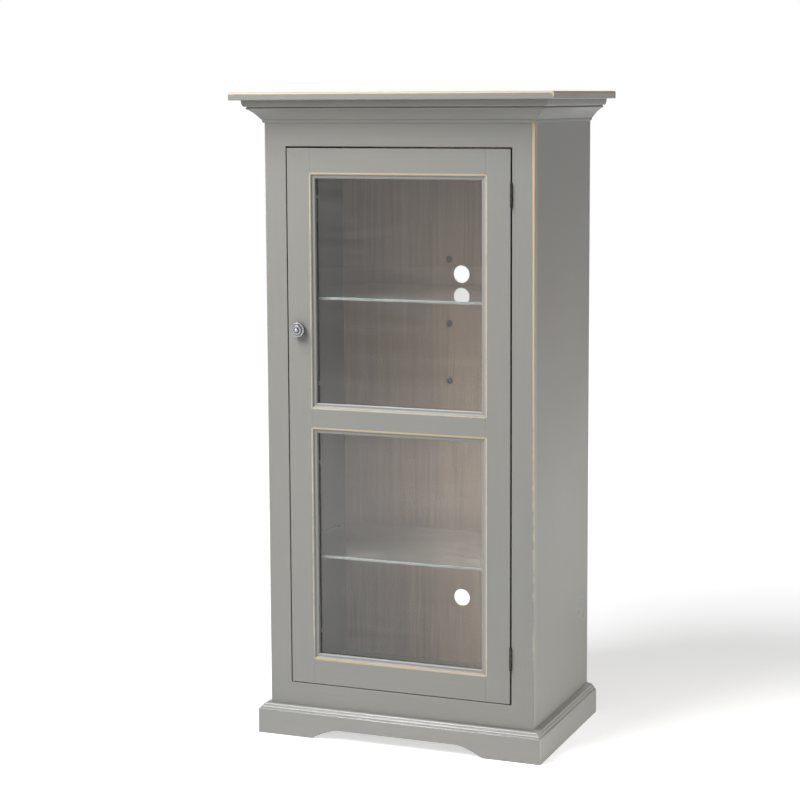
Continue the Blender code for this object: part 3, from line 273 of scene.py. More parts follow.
def clear_float_glass(name, tint, clean, dusty, dust_scale):
    """Float glass: nearly clear, with thin streaks of dust and wipe marks in its gloss.

    Rays from lamps pass straight through, so that the inside is lit.
    """
    material, tree, shader, coords = start_finish(name)
    shader.inputs["Base Color"].default_value = linear(tint)
    shader.inputs["IOR"].default_value = GLASS_IOR
    streaks = add(tree, "Mapping", {}, {"Vector": coords, "Scale": dust_scale})
    dust = add(tree, "TexNoise", {}, {
        "Vector": streaks.outputs[0], "Scale": 1.0, "Detail": 6.0, "Roughness": 0.65,
    })
    clear_share = add(tree, "MapRange", {}, {
        "Value": dust.outputs["Fac"], "From Min": 0.4, "From Max": 0.7, "To Min": clean, "To Max": dusty,
    })
    tree.links.new(clear_share.outputs[0], shader.inputs["Transmission Weight"])
    wipes = add(tree, "Mapping", {}, {"Vector": coords, "Rotation": (0, 0.5, 0), "Scale": (18, 18, 5)})
    smear = add(tree, "TexNoise", {}, {"Vector": wipes.outputs[0], "Scale": 1.0, "Detail": 4.0})
    rough = add(tree, "MapRange", {}, {
        "Value": smear.outputs["Fac"], "From Min": 0.55, "From Max": 0.85, "To Min": 0.0, "To Max": 0.012,
    })
    tree.links.new(rough.outputs[0], shader.inputs["Roughness"])
    clear = add(tree, "BsdfTransparent", {}, {"Color": linear(tint)})
    path = add(tree, "LightPath", {}, {})
    through = add(tree, "MixShader", {}, {
        0: path.outputs["Is Shadow Ray"], 1: shader.outputs[0], 2: clear.outputs[0],
    })
    tree.links.new(through.outputs[0], tree.nodes["Material Output"].inputs["Surface"])
    return material


def ground_glass_edge(name):
    """Seamed edge of float glass: a soft green-white line with a fine grind."""
    material, tree, shader, coords = start_finish(name)
    grind = add(tree, "TexNoise", {}, {"Vector": coords, "Scale": 420.0, "Detail": 3.0})
    chips = add(tree, "TexNoise", {}, {"Vector": coords, "Scale": 26.0, "Detail": 6.0, "Roughness": 0.7})
    tone = add(tree, "MapRange", {}, {
        "Value": chips.outputs["Fac"], **NOISE_SPAN, "To Min": 0.75, "To Max": 1.1,
    })
    colour = add(tree, "VectorMath", {"operation": "SCALE"}, {
        0: linear(GROUND_EDGE)[:3], "Scale": tone.outputs[0],
    })
    bump = add(tree, "Bump", {}, {"Strength": 0.2, "Distance": 0.0002, "Height": grind.outputs["Fac"]})
    rough = add(tree, "MapRange", {}, {"Value": grind.outputs["Fac"], "To Min": 0.25, "To Max": 0.5})
    tree.links.new(colour.outputs[0], shader.inputs["Base Color"])
    tree.links.new(rough.outputs[0], shader.inputs["Roughness"])
    tree.links.new(bump.outputs[0], shader.inputs["Normal"])
    shader.inputs["Transmission Weight"].default_value = 0.15
    shader.inputs["IOR"].default_value = GLASS_IOR
    return material


def metal(name, bright, grimy, grime_share, rough_low, rough_high, scale):
    """Plated or bare metal with dull patches, and grime where a groove holds it."""
    material, tree, shader, coords = start_finish(name)
    shader.inputs["Metallic"].default_value = 1
    patina = add(tree, "TexNoise", {}, {"Vector": coords, "Scale": scale, "Detail": 6.0, "Roughness": 0.65})
    dull = add(tree, "MapRange", SMOOTH, {
        "Value": patina.outputs["Fac"], "From Min": 0.62 - grime_share, "From Max": 0.72,
    })
    groove = add(tree, "Attribute", {"attribute_name": "wear"}, {})
    dirt = add(tree, "Math", {"operation": "ADD", "use_clamp": True}, {
        0: dull.outputs[0], 1: groove.outputs["Fac"],
    })
    colour = add(tree, "Mix", COLOUR, {0: dirt.outputs[0], 6: linear(bright), 7: linear(grimy)})
    fine = add(tree, "TexNoise", {}, {"Vector": coords, "Scale": scale * 9, "Detail": 2.0})
    rough = add(tree, "MapRange", {}, {
        "Value": patina.outputs["Fac"], **NOISE_SPAN, "To Min": rough_low, "To Max": rough_high,
    })
    bump = add(tree, "Bump", {}, {"Strength": 0.15, "Distance": 0.0001, "Height": fine.outputs["Fac"]})
    tree.links.new(colour.outputs[2], shader.inputs["Base Color"])
    tree.links.new(rough.outputs[0], shader.inputs["Roughness"])
    tree.links.new(bump.outputs[0], shader.inputs["Normal"])
    return material


def moulded(name, colour, rough_low, rough_high):
    """Moulded rubber or plastic with a fine spark texture and a little dust."""
    material, tree, shader, coords = start_finish(name)
    dust = add(tree, "TexNoise", {}, {"Vector": coords, "Scale": 60.0, "Detail": 5.0})
    tone = add(tree, "MapRange", {}, {
        "Value": dust.outputs["Fac"], "From Min": 0.3, "From Max": 0.75, "To Min": 0.88, "To Max": 1.25,
    })
    shade = add(tree, "VectorMath", {"operation": "SCALE"}, {0: linear(colour)[:3], "Scale": tone.outputs[0]})
    spark = add(tree, "TexNoise", {}, {"Vector": coords, "Scale": 900.0, "Detail": 1.0})
    rough = add(tree, "MapRange", {}, {"Value": dust.outputs["Fac"], "To Min": rough_low, "To Max": rough_high})
    bump = add(tree, "Bump", {}, {"Strength": 0.2, "Distance": 0.0001, "Height": spark.outputs["Fac"]})
    tree.links.new(shade.outputs[0], shader.inputs["Base Color"])
    tree.links.new(rough.outputs[0], shader.inputs["Roughness"])
    tree.links.new(bump.outputs[0], shader.inputs["Normal"])
    return material


# Grain scales are repeats per metre, many across the board and few along it
UPRIGHT_GRAIN = (160, 160, 6)
LEVEL_GRAIN = (6, 160, 160)
DEEP_GRAIN = (160, 6, 160)
OUTSIDE_TONES = (GREY_PAINT_COOL, GREY_PAINT_WARM)
RETURN_SHADE_TONES = (RETURN_SHADE_PAINT_COOL, RETURN_SHADE_PAINT_WARM)
GAP_SHADE_TONES = (GAP_SHADE_PAINT_COOL, GAP_SHADE_PAINT_WARM)
INSIDE_SHADE_TONES = (INSIDE_SHADE_COOL, INSIDE_SHADE_WARM)
paint_upright = grey_painted_wood("grey_painted_maple_upright", OUTSIDE_TONES, UPRIGHT_GRAIN, RUBBED_MAPLE)
paint_level = grey_painted_wood("grey_painted_maple_level", OUTSIDE_TONES, LEVEL_GRAIN, RUBBED_MAPLE)
paint_deep = grey_painted_wood("grey_painted_maple_deep", OUTSIDE_TONES, DEEP_GRAIN, RUBBED_MAPLE)
paint_side = grey_painted_wood("grey_painted_side_panel", OUTSIDE_TONES, UPRIGHT_GRAIN, RUBBED_MAPLE, SIDE_SHINE)
# The crown's right return takes paint darkened as painted shade
shaded_return_paint = grey_painted_wood("grey_paint_with_painted_shade_side_moulding", RETURN_SHADE_TONES, DEEP_GRAIN, RUBBED_MAPLE, SIDE_SHINE)
# On the plinth the wear colour is a pale paint, which also draws the painted highlights along its cap
paint_plinth = grey_painted_wood(
    "waxed_grey_plinth_with_painted_highlights", OUTSIDE_TONES, LEVEL_GRAIN, PALE_WEAR_AND_PAINTED_HIGHLIGHT, WAXED_SHINE, 1.0, PALE_WEAR_AND_PAINTED_HIGHLIGHT,
)
paint_corner = grey_painted_wood("grey_painted_corner_stile", OUTSIDE_TONES, UPRIGHT_GRAIN, PALE_MAPLE)
paint_slab = grey_painted_wood("grey_painted_slab", OUTSIDE_TONES, LEVEL_GRAIN, GOLDEN_MAPLE)
# Painted shade on the faces that lie in the door's gaps
gap_shade_paint = grey_painted_wood("grey_paint_with_painted_shade_in_door_gap", GAP_SHADE_TONES, UPRIGHT_GRAIN, RUBBED_MAPLE)
inside_shade_paint = grey_painted_wood("grey_inside_paint_darkened_as_painted_shade", INSIDE_SHADE_TONES, LEVEL_GRAIN, RUBBED_MAPLE)
back_ply = grained_wood("sealed_plywood_back", (PLY_LIGHT, PLY_DARK), (90, 90, 2.2), 0.5, 0.75)
pine = grained_wood("sawn_pine", (PINE_LIGHT, PINE_DARK), (5, 110, 110), 0.6, 0.85)
door_glass = clear_float_glass("clear_float_glass", GLASS_TINT, 1.0, 0.985, (6, 40, 40))
shelf_glass = clear_float_glass("shelf_float_glass", SHELF_TINT, 0.98, 0.9, (14, 46, 46))
glass_edge = ground_glass_edge("seamed_glass_edge")
satin_nickel = metal("satin_nickel", SATIN_NICKEL, NICKEL_GRIME, 0.04, 0.26, 0.4, 140)
black_steel = metal("blackened_steel", BLACK_STEEL, STEEL_GRIME, 0.2, 0.35, 0.6, 180)
zinc_plate = metal("zinc_plated_steel", ZINC, ZINC_DULL, 0.1, 0.22, 0.4, 220)
rubber = moulded("dark_rubber_plug", RUBBER, 0.7, 0.9)
plastic = moulded("grey_catch_plastic", PLASTIC, 0.4, 0.6)


# Helpers for pieces

def finish_piece(name, mesh, materials, body, nodes):
    """Put a bmesh into the scene as a piece that rides on a body and stands for CAD nodes."""
    data = bpy.data.meshes.new(name)
    mesh.to_mesh(data)
    mesh.free()
    data.set_sharp_from_angle(angle=math.radians(SHARP_DEGREES))
    for face in data.polygons:
        face.use_smooth = max(abs(part) for part in face.normal) < FLAT
    for material in materials:
        data.materials.append(material)
    piece = bpy.data.objects.new(name, data)
    bpy.context.scene.collection.objects.link(piece)
    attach(piece, body)
    if nodes:
        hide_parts(*nodes)
    return piece


def merged_copy(node):
    """Return a copy of a CAD node's mesh with its faces joined again, and its wear layer."""
    mesh = bmesh.new()
    mesh.from_mesh(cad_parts[node].data)
    bmesh.ops.remove_doubles(mesh, verts=mesh.verts, dist=TOUCH)
    bmesh.ops.dissolve_limit(mesh, angle_limit=math.radians(1), verts=mesh.verts, edges=mesh.edges)
    return mesh, mesh.verts.layers.float.new("wear")


def score(mesh, axis, place):
    """Cut a loop of edges through a mesh, square to an axis."""
    normal = Vector((0, 0, 0))
    normal[axis] = 1
    geometry = mesh.verts[:] + mesh.edges[:] + mesh.faces[:]
    bmesh.ops.bisect_plane(mesh, geom=geometry, dist=TOUCH / 10, plane_co=normal * place, plane_no=normal)


def ease_arris(mesh, line, radius, span=None):
    """Round the edges that lie on a line, given as two fixed coordinates, between two ends."""
    run = ({0, 1, 2} - set(line)).pop()
    for end in span or ():
        score(mesh, run, end)
    low, high = span or (-math.inf, math.inf)
    chosen = []
    for edge in mesh.edges:
        on_line = all(abs(vertex.co[axis] - place) < TOUCH for vertex in edge.verts for axis, place in line.items())
        if on_line and all(low - TOUCH <= vertex.co[run] <= high + TOUCH for vertex in edge.verts):
            chosen.append(edge)
    bmesh.ops.bevel(mesh, geom=chosen, offset=radius, segments=4, profile=0.5, affect="EDGES", material=-1)


def rub_line(mesh, layer, line, width, amounts, run, span):
    """Wear the paint along a line, fading out over a width, by amounts spread along a span; the same lines paint
    highlights on the plinth cap and the top's right edge.
    """
    steps = len(amounts) - 1
    for axis, place in line.items():
        for share in (-1, -0.5, 0.5, 1):
            score(mesh, axis, place + share * width)
    for end, step in zip(span, (-RUB_END, RUB_END)):
        score(mesh, run, end)
        score(mesh, run, end + step)
    for step in range(1, steps):
        score(mesh, run, span[0] + (span[1] - span[0]) * step / steps)
    for vertex in mesh.verts:
        along = vertex.co[run]
        if not span[0] - TOUCH <= along <= span[1] + TOUCH:
            continue
        distance = math.dist([vertex.co[axis] for axis in line], list(line.values()))
        share = min(max((along - span[0]) / (span[1] - span[0]), 0), 1) * steps
        step = min(int(share), steps - 1)
        amount = amounts[step] + (amounts[step + 1] - amounts[step]) * (share - step)
        vertex[layer] = max(vertex[layer], amount * max(0, 1 - (distance / width) ** 2))


def shut_seam(mesh, axis, place, target):
    """Move the face of a joint from one plane to another, to close its hairline."""
    for vertex in mesh.verts:
        if abs(vertex.co[axis] - place) < TOUCH:
            vertex.co[axis] = target


def shut_mitres(mesh, axis, limits):
    """Push the mitred ends of a moulding outward, beyond two limits, to close their hairlines."""
    for vertex in mesh.verts:
        for limit, side in zip(limits, (-1, 1)):
            if limit is not None and side * (vertex.co[axis] - limit) > -TOUCH:
                vertex.co[axis] += side * SEAM * MITRE_SHARE


def line_faces(mesh, axis, place):
    """Give the faces that lie in a plane the second material, a painted shade in the door's gaps and inside the case.
    """
    for face in mesh.faces:
        if abs(face.normal[axis]) > FACING and abs(face.calc_center_median()[axis] - place) < TOUCH:
            face.material_index = 1


def corner_line(node, words):
    """Return an arris of a node's box as fixed coordinates, from words such as +x -y."""
    low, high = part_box(node)
    line = {}
    for word in words.split():
        axis = "xyz".index(word[1])
        line[axis] = high[axis] if word[0] == "+" else low[axis]
    return line


def paint_board(node, body, materials, arrises=(), lines=(), seams=(), lined=(), mitres=None):
    """Stand a painted board in for a CAD node, with eased arrises and rubbed lines, some of which are painted
    highlights.

    Seams are planes of joints to close, and lined planes take the second material, a painted shade.
    """
    mesh, layer = merged_copy(node)
    if mitres:
        shut_mitres(mesh, *mitres)
    for axis, place, target in seams:
        shut_seam(mesh, axis, place, target)
    for words, radius, span in arrises:
        ease_arris(mesh, corner_line(node, words), radius, span)
    for line, width, amounts, span in lines:
        run = ({0, 1, 2} - set(line)).pop()
        rub_line(mesh, layer, line, width, amounts, run, span)
    for axis, place in lined:
        line_faces(mesh, axis, place)
    return finish_piece("painted_" + node, mesh, materials, body, [node])


# Slab, crown and plinth

slab_low, slab_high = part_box("top_slab")
case_low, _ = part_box("face_stile_left")
_, case_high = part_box("side_panel_right")
slab_front_line = {1: slab_low.y + SLAB_ROUND, 2: slab_high.z}
slab_left_line = {0: slab_low.x + SLAB_ROUND, 2: slab_high.z}
# Along the top's right edge the rubbed line also stands for a painted highlight
slab_right_wear_and_highlight = {0: slab_high.x, 2: slab_high.z - SLAB_ROUND / 2}
chipped_corner = {0: slab_high.x, 1: slab_low.y}
paint_board("top_slab", "cabinet", [paint_slab], (), (
    (slab_front_line, SLAB_RUB_WIDTH, SLAB_FRONT_RUB, (slab_low.x, slab_high.x)),
    (slab_left_line, SLAB_RUB_WIDTH, SLAB_LEFT_RUB, (slab_low.y, slab_high.y)),
    (slab_right_wear_and_highlight, SIDE_RUB_AND_HIGHLIGHT_WIDTH, SLAB_RIGHT_RUB_AND_HIGHLIGHT, (slab_low.y, slab_high.y)),
    (chipped_corner, CORNER_RUB_WIDTH, CHIP_RUB, (slab_low.z, slab_high.z)),
))
crown_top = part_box("crown_front")[1].z
crown_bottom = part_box("crown_front")[0].z
side_mitres = (0, (case_low.x, case_high.x))
front_mitres = (1, (case_low.y, None))
for name, material, seam, mitres in (
    ("crown_front", paint_level, (1, case_low.y - SEAM, case_low.y), side_mitres),
    ("crown_left", paint_deep, (0, case_low.x - SEAM, case_low.x), front_mitres),
    ("crown_right", shaded_return_paint, (0, case_high.x + SEAM, case_high.x), front_mitres),
):
    paint_board(name, "cabinet", [material], seams=(seam, (2, crown_top, slab_low.z)), mitres=mitres)
plinth_low, plinth_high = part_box("plinth_front")
foot_span = (0, plinth_high.z - NOSE_DROP)
left_foot = {0: plinth_low.x, 1: plinth_low.y}
right_foot = {0: plinth_high.x, 1: plinth_low.y}
front_feet = [(foot, FOOT_RUB_WIDTH, FOOT_RUB, foot_span) for foot in (left_foot, right_foot)]
# Pale lines along the cap's two upper arrises: painted highlights
cap_highlight_lines = []
for reach, drop, amount in CAP_HIGHLIGHT_ARRISES:
    highlight_line = {1: case_low.y - reach, 2: plinth_high.z - drop}
    cap_highlight_lines.append((highlight_line, CAP_HIGHLIGHT_WIDTH, (amount, amount), (case_low.x - reach, case_high.x + reach)))
front_seams = ((1, case_low.y - SEAM, case_low.y),)
paint_board("plinth_front", "cabinet", [paint_plinth], (), front_feet + cap_highlight_lines, front_seams, mitres=side_mitres)
for name, foot in (("plinth_left", left_foot), ("plinth_right", right_foot)):
    rubbed = (foot, FOOT_RUB_WIDTH, FOOT_RUB, foot_span)
    paint_board(name, "cabinet", [paint_deep], (), (rubbed,), mitres=front_mitres)

# Case

opening_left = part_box("face_stile_left")[1].x
opening_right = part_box("face_stile_right")[0].x
opening_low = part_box("face_rail_bottom")[1].z
opening_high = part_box("face_rail_top")[0].z
opening = (opening_low, opening_high)
case_span = (plinth_high.z, crown_bottom)
left_corner = {0: case_low.x, 1: case_low.y}
right_corner = {0: case_high.x, 1: case_low.y}
paint_board("face_stile_left", "cabinet", [paint_upright, gap_shade_paint], (
    ("-x -y", CORNER_EASE, None), ("+x -y", ARRIS_EASE, opening),
), ((left_corner, BEAD_RUB_WIDTH, LEFT_CORNER_RUB, case_span),), lined=((0, opening_left),))
paint_board("face_stile_right", "cabinet", [paint_corner, gap_shade_paint], (
    ("+x -y", CORNER_EASE, None), ("-x -y", ARRIS_EASE, opening),
), ((right_corner, CORNER_RUB_WIDTH, RIGHT_CORNER_RUB, case_span),), lined=((0, opening_right),))
shoulders = ((0, opening_left + SEAM, opening_left), (0, opening_right - SEAM, opening_right))
for node, words, height in (("face_rail_top", "-y -z", opening_high), ("face_rail_bottom", "-y +z", opening_low)):
    eased = (words, ARRIS_EASE, None)
    paint_board(node, "cabinet", [paint_level, gap_shade_paint], (eased,), (), shoulders, ((2, height),))
wall_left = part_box("bottom_panel")[0].x
wall_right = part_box("bottom_panel")[1].x
# The side panels' inner faces take the darker inside paint, a painted shade
for node, corner, wall in (
    ("side_panel_left", "-x +y", wall_left + HOUSING),
    ("side_panel_right", "+x +y", wall_right - HOUSING),
):
    eased = (corner, ARRIS_EASE, None)
    rubbed = (corner_line(node, corner), BEAD_RUB_WIDTH, BACK_CORNER_RUB, case_span)
    paint_board(node, "cabinet", [paint_side, inside_shade_paint], (eased,), (rubbed,), lined=((0, wall),))

# Door

door_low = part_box("door_stile_left")[0]
door_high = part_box("door_stile_right")[1]
lights = []
for node in ("door_glass_upper", "door_glass_lower"):
    low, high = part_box(node)
    lights.append((low.x - PANE_TO_BEAD, high.x + PANE_TO_BEAD, low.z - PANE_TO_BEAD, high.z + PANE_TO_BEAD))
(left_x, right_x, upper_low, upper_high), (_, _, lower_low, lower_high) = lights


def close_copes(mesh):
    """Push a rail's coped ends against the stiles, to close their hairlines."""
    for vertex in mesh.verts:
        for line_x, step in ((left_x, -SEAM), (right_x, SEAM)):
            if abs(vertex.co.x - line_x) < BEAD_WIDTH + SEAM + SEAM:
                vertex.co.x += step


for node, words, line_x, edge_x, rub in (
    ("door_stile_left", "-x -y", left_x, door_low.x, LEFT_BEAD_RUB),
    ("door_stile_right", "+x -y", right_x, door_high.x, RIGHT_BEAD_RUB),
):
    bead = {0: line_x, 1: door_low.y}
    paint_board(node, "door", [paint_upright, gap_shade_paint], (
        (words, ARRIS_EASE, None), ("-y -z", ARRIS_EASE, None), ("-y +z", TOP_ARRIS_EASE, None),
    ), (
        (bead, BEAD_RUB_WIDTH, rub, (upper_low, upper_high)),
        (bead, BEAD_RUB_WIDTH, rub, (lower_low, lower_high)),
    ), (), ((0, edge_x), (2, door_low.z), (2, door_high.z)))
rail_beads = (
    ("door_rail_top", (("-y +z", TOP_ARRIS_EASE),), ((upper_high, HEAD_RUB_WIDTH, HEAD_RUB),)),
    ("door_rail_mid", (), ((upper_low, SILL_RUB_WIDTH, PALE_SILL_RUB), (lower_high, HEAD_RUB_WIDTH, HEAD_RUB))),
    ("door_rail_bottom", (("-y -z", ARRIS_EASE),), ((lower_low, SILL_RUB_WIDTH, SILL_RUB),)),
)
for node, arrises, heights in rail_beads:
    mesh, layer = merged_copy(node)
    close_copes(mesh)
    for words, radius in arrises:
        ease_arris(mesh, corner_line(node, words), radius)
    for height, width, rub in heights:
        rub_line(mesh, layer, {1: door_low.y, 2: height}, width, rub, 0, (left_x, right_x))
    for height in (door_low.z, door_high.z):
        line_faces(mesh, 2, height)
    finish_piece("painted_" + node, mesh, [paint_level, gap_shade_paint], "door", [node])


# Shelves

def glass_shelf(node):
    """Glass shelf with seamed edges that glow pale green."""
    mesh, _ = merged_copy(node)
    bmesh.ops.bevel(
        mesh, geom=mesh.edges[:], offset=SHELF_EASE, segments=2, profile=0.5, affect="EDGES", material=-1,
    )
    for face in mesh.faces:
        face.material_index = 0 if abs(face.normal.z) > FACING else 1
    finish_piece("seamed_" + node, mesh, [shelf_glass, glass_edge], "cabinet", [node])


glass_shelf("glass_shelf_upper")
glass_shelf("glass_shelf_lower")


# Knob

def turned(outline, sides):
    """Return a new bmesh, an outline of radius and height spun about Z."""
    mesh = bmesh.new()
    points = [mesh.verts.new((radius, 0, height)) for radius, height in outline]
    edges = [mesh.edges.new(pair) for pair in zip(points, points[1:])]
    bmesh.ops.spin(
        mesh, geom=points + edges, axis=(0, 0, 1), cent=(0, 0, 0), angle=math.tau, steps=sides, use_merge=True,
    )
    bmesh.ops.remove_doubles(mesh, verts=mesh.verts, dist=TOUCH / 10)
    bmesh.ops.recalc_face_normals(mesh, faces=mesh.faces)
    return mesh


def join(mesh, part, matrix):
    """Set a part in place and add it to a mesh."""
    bmesh.ops.transform(part, matrix=matrix, verts=part.verts)
    data = bpy.data.meshes.new("part")
    part.to_mesh(data)
    part.free()
    mesh.from_mesh(data)
    bpy.data.meshes.remove(data)


def arc(centre, radius, first, last, steps):
    """Return points on an arc between two angles in degrees."""
    angles = [math.radians(first + (last - first) * step / steps) for step in range(steps + 1)]
    return [(centre[0] + radius * math.cos(angle), centre[1] + radius * math.sin(angle)) for angle in angles]


def along(direction, place):
    """Return a matrix whose Z runs in a direction from a place."""
    return Matrix.Translation(place) @ Vector(direction).to_track_quat("Z", "Y").to_matrix().to_4x4()


KNOB_NECK = 0.0085
KNOB_RIM = 0.01725
KNOB_RING = 0.0112
KNOB_BUTTON = 0.0052
KNOB_RIM_BACK = 0.0055
KNOB_RIM_FRONT = 0.0155
KNOB_RING_FRONT = 0.019
KNOB_TIP = 0.024
KNOB_BACK_ROUND = 0.0035
KNOB_STEP_ROUND = 0.0016
KNOB_GROOVE_WIDTH = 0.0009
KNOB_GROOVE_DEPTH = 0.002
BORE = 0.0023
BORE_DEPTH = 0.009


def knob_step(radius, front, inner):
    """Return one step of the knob: a round edge, a flat and the groove inside it."""
    edge = arc((radius - KNOB_STEP_ROUND, front - KNOB_STEP_ROUND), KNOB_STEP_ROUND, 0, 90, 8)
    floor = front - KNOB_STEP_ROUND - KNOB_GROOVE_DEPTH
    return edge + [(inner + KNOB_GROOVE_WIDTH, front), (inner + KNOB_GROOVE_WIDTH / 2, floor), (inner, floor)]


GROOVE_GRIME = 0.85
RING_FLAT_GRIME = 0.55
RING_EDGE_GRIME = 0.12
RIM_FLAT_GRIME = 0.5
RIM_EDGE_GRIME = 0.18


def knob_grime(radius, height):
    """Return how dull the knob is at a point: hands polish its button and round edges."""
    if radius < KNOB_BUTTON + TOUCH and height > KNOB_RING_FRONT - TOUCH:
        return 0
    if radius < KNOB_BUTTON + KNOB_GROOVE_WIDTH or height < KNOB_RIM_BACK + KNOB_BACK_ROUND:
        return GROOVE_GRIME
    if radius < KNOB_RING + TOUCH:
        on_edge = radius > KNOB_RING - KNOB_STEP_ROUND and height > KNOB_RIM_FRONT + TOUCH
        return RING_EDGE_GRIME if on_edge else RING_FLAT_GRIME
    if radius < KNOB_RING + KNOB_GROOVE_WIDTH and height < KNOB_RIM_FRONT - TOUCH:
        return GROOVE_GRIME
    return RIM_EDGE_GRIME if radius > KNOB_RIM - KNOB_STEP_ROUND else RIM_FLAT_GRIME


def turned_knob():
    """Knob in three turned steps, bright where hands rub it and grimy in the grooves."""
    low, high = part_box("knob")
    centre = ((low.x + high.x) / 2, high.y, (low.z + high.z) / 2)
    depth = high.y - low.y
    back = KNOB_TIP - depth
    outline = [(0, BORE_DEPTH), (BORE, BORE_DEPTH), (BORE, back), (KNOB_NECK, back), (KNOB_NECK, KNOB_RIM_BACK)]
    outline += arc((KNOB_RIM - KNOB_BACK_ROUND, KNOB_RIM_BACK + KNOB_BACK_ROUND), KNOB_BACK_ROUND, -90, 0, 8)
    outline += knob_step(KNOB_RIM, KNOB_RIM_FRONT, KNOB_RING)
    outline += knob_step(KNOB_RING, KNOB_RING_FRONT, KNOB_BUTTON)
    dome = KNOB_TIP - KNOB_RING_FRONT
    for step in range(9):
        angle = math.radians(90 * step / 8)
        outline.append((KNOB_BUTTON * math.cos(angle), KNOB_RING_FRONT + dome * math.sin(angle)))
    mesh = turned(outline, ROUND_SIDES)
    layer = mesh.verts.layers.float.new("wear")
    for vertex in mesh.verts:
        radius = math.hypot(vertex.co.x, vertex.co.y)
        vertex[layer] = knob_grime(radius, vertex.co.z)
    place = (centre[0], centre[1] + back, centre[2])
    bmesh.ops.transform(mesh, matrix=along((0, -1, 0), place), verts=mesh.verts)
    finish_piece("turned_knob", mesh, [satin_nickel], "door", ["knob"])


turned_knob()


# Screws and nails

HEAD_HEIGHT = 0.0007
CROSS_REACH_SHARE = 0.62
CROSS_WIDTH_SHARE = 0.24
CROSS_DEPTH = 0.0005


def screw_head(mesh, place, direction, radius, turn):
    """Domed screw head with a cross recess, set on a face."""
    outline = [(0, 0), (radius, 0)]
    for step in range(7):
        angle = math.radians(90 * step / 6)
        outline.append((radius * math.cos(angle), HEAD_HEIGHT * (0.4 + 0.6 * math.sin(angle))))
    head = turned(outline, SCREW_SIDES)
    reach = radius * CROSS_REACH_SHARE
    half = radius * CROSS_WIDTH_SHARE / 2
    for axis in (0, 1):
        for offset in (-reach, -half, half, reach):
            score(head, axis, offset)
    recess = []
    for face in head.faces:
        middle = face.calc_center_median()
        wide, narrow = max(abs(middle.x), abs(middle.y)), min(abs(middle.x), abs(middle.y))
        if face.normal.z > 0.1 and wide < reach and narrow < half:
            recess.append(face)
    sunk = bmesh.ops.extrude_face_region(head, geom=recess)["geom"]
    lowered = [item for item in sunk if isinstance(item, bmesh.types.BMVert)]
    bmesh.ops.delete(head, geom=recess, context="FACES")
    for vertex in lowered:
        vertex.co.z -= CROSS_DEPTH
    join(mesh, head, along(direction, place) @ Matrix.Rotation(turn, 4, "Z"))


def screws(name, body, material, places, direction, radius):
    """Screws of one fitting as one piece, each turned its own way."""
    mesh = bmesh.new()
    for index, place in enumerate(places):
        screw_head(mesh, place, direction, radius, index * SCREW_TURN)
    finish_piece(name, mesh, [material], body, [])


LEAF_SCREW = 0.0023
LEAF_SCREW_RISE = 0.0175
LEAF_SCREW_DEPTH = 0.0125
LEAF_HOLLOW = 0.0014
for level in ("upper", "lower"):
    pin_low, pin_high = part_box("hinge_pin_" + level)
    leaf_low, leaf_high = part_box("hinge_leaf_frame_" + level)
    axis_x, axis_y = (pin_low.x + pin_high.x) / 2, (pin_low.y + pin_high.y) / 2
    middle = (leaf_low.z + leaf_high.z) / 2
    heights = (middle - LEAF_SCREW_RISE, middle, middle + LEAF_SCREW_RISE)
    for body, side in (("cabinet", 1), ("door", -1)):
        places = [(axis_x + side * LEAF_HOLLOW, axis_y + LEAF_SCREW_DEPTH, height) for height in heights]
        name = "hinge_screws_" + body + "_" + level
        screws(name, body, black_steel, places, (-side, 0, 0), LEAF_SCREW)

CLIP_SCREW = 0.0022
CLIP_SCREW_INSET = 0.0042
places = []
for pane in ("upper", "lower"):
    for end in ("bottom", "top"):
        for hand in ("left", "right"):
            low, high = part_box("_".join(("glass_clip", pane, end, hand)))
            x = low.x + CLIP_SCREW_INSET if hand == "left" else high.x - CLIP_SCREW_INSET
            places.append((x, high.y, (low.z + high.z) / 2))
screws("clip_screws", "door", zinc_plate, places, (0, 1, 0), CLIP_SCREW)

STRIKE_SCREW = 0.0014
STRIKE_SCREW_RISE = 0.0167
low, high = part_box("strike_plate")
middle = (low + high) / 2
places = [(middle.x, high.y, middle.z + rise) for rise in (-STRIKE_SCREW_RISE, STRIKE_SCREW_RISE)]
screws("strike_screws", "door", zinc_plate, places, (0, 1, 0), STRIKE_SCREW)

CATCH_SCREW = 0.003
CATCH_SCREW_INSET = 0.011
CATCH_SCREW_RISE = 0.015
low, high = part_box("catch_body")
middle = (low + high) / 2
places = [(low.x + CATCH_SCREW_INSET, high.y, middle.z + rise) for rise in (-CATCH_SCREW_RISE, CATCH_SCREW_RISE)]
screws("catch_screws", "cabinet", zinc_plate, places, (0, 1, 0), CATCH_SCREW)


NAIL_INSET = 0.0045
NAIL_PITCH = 0.115
NAIL_RADIUS = 0.0019
NAIL_DRIFT = 0.3
NAIL_HEAD = ((0, 0), (1, 0), (1, 0.0003), (0.8, 0.0006), (0, 0.0007))


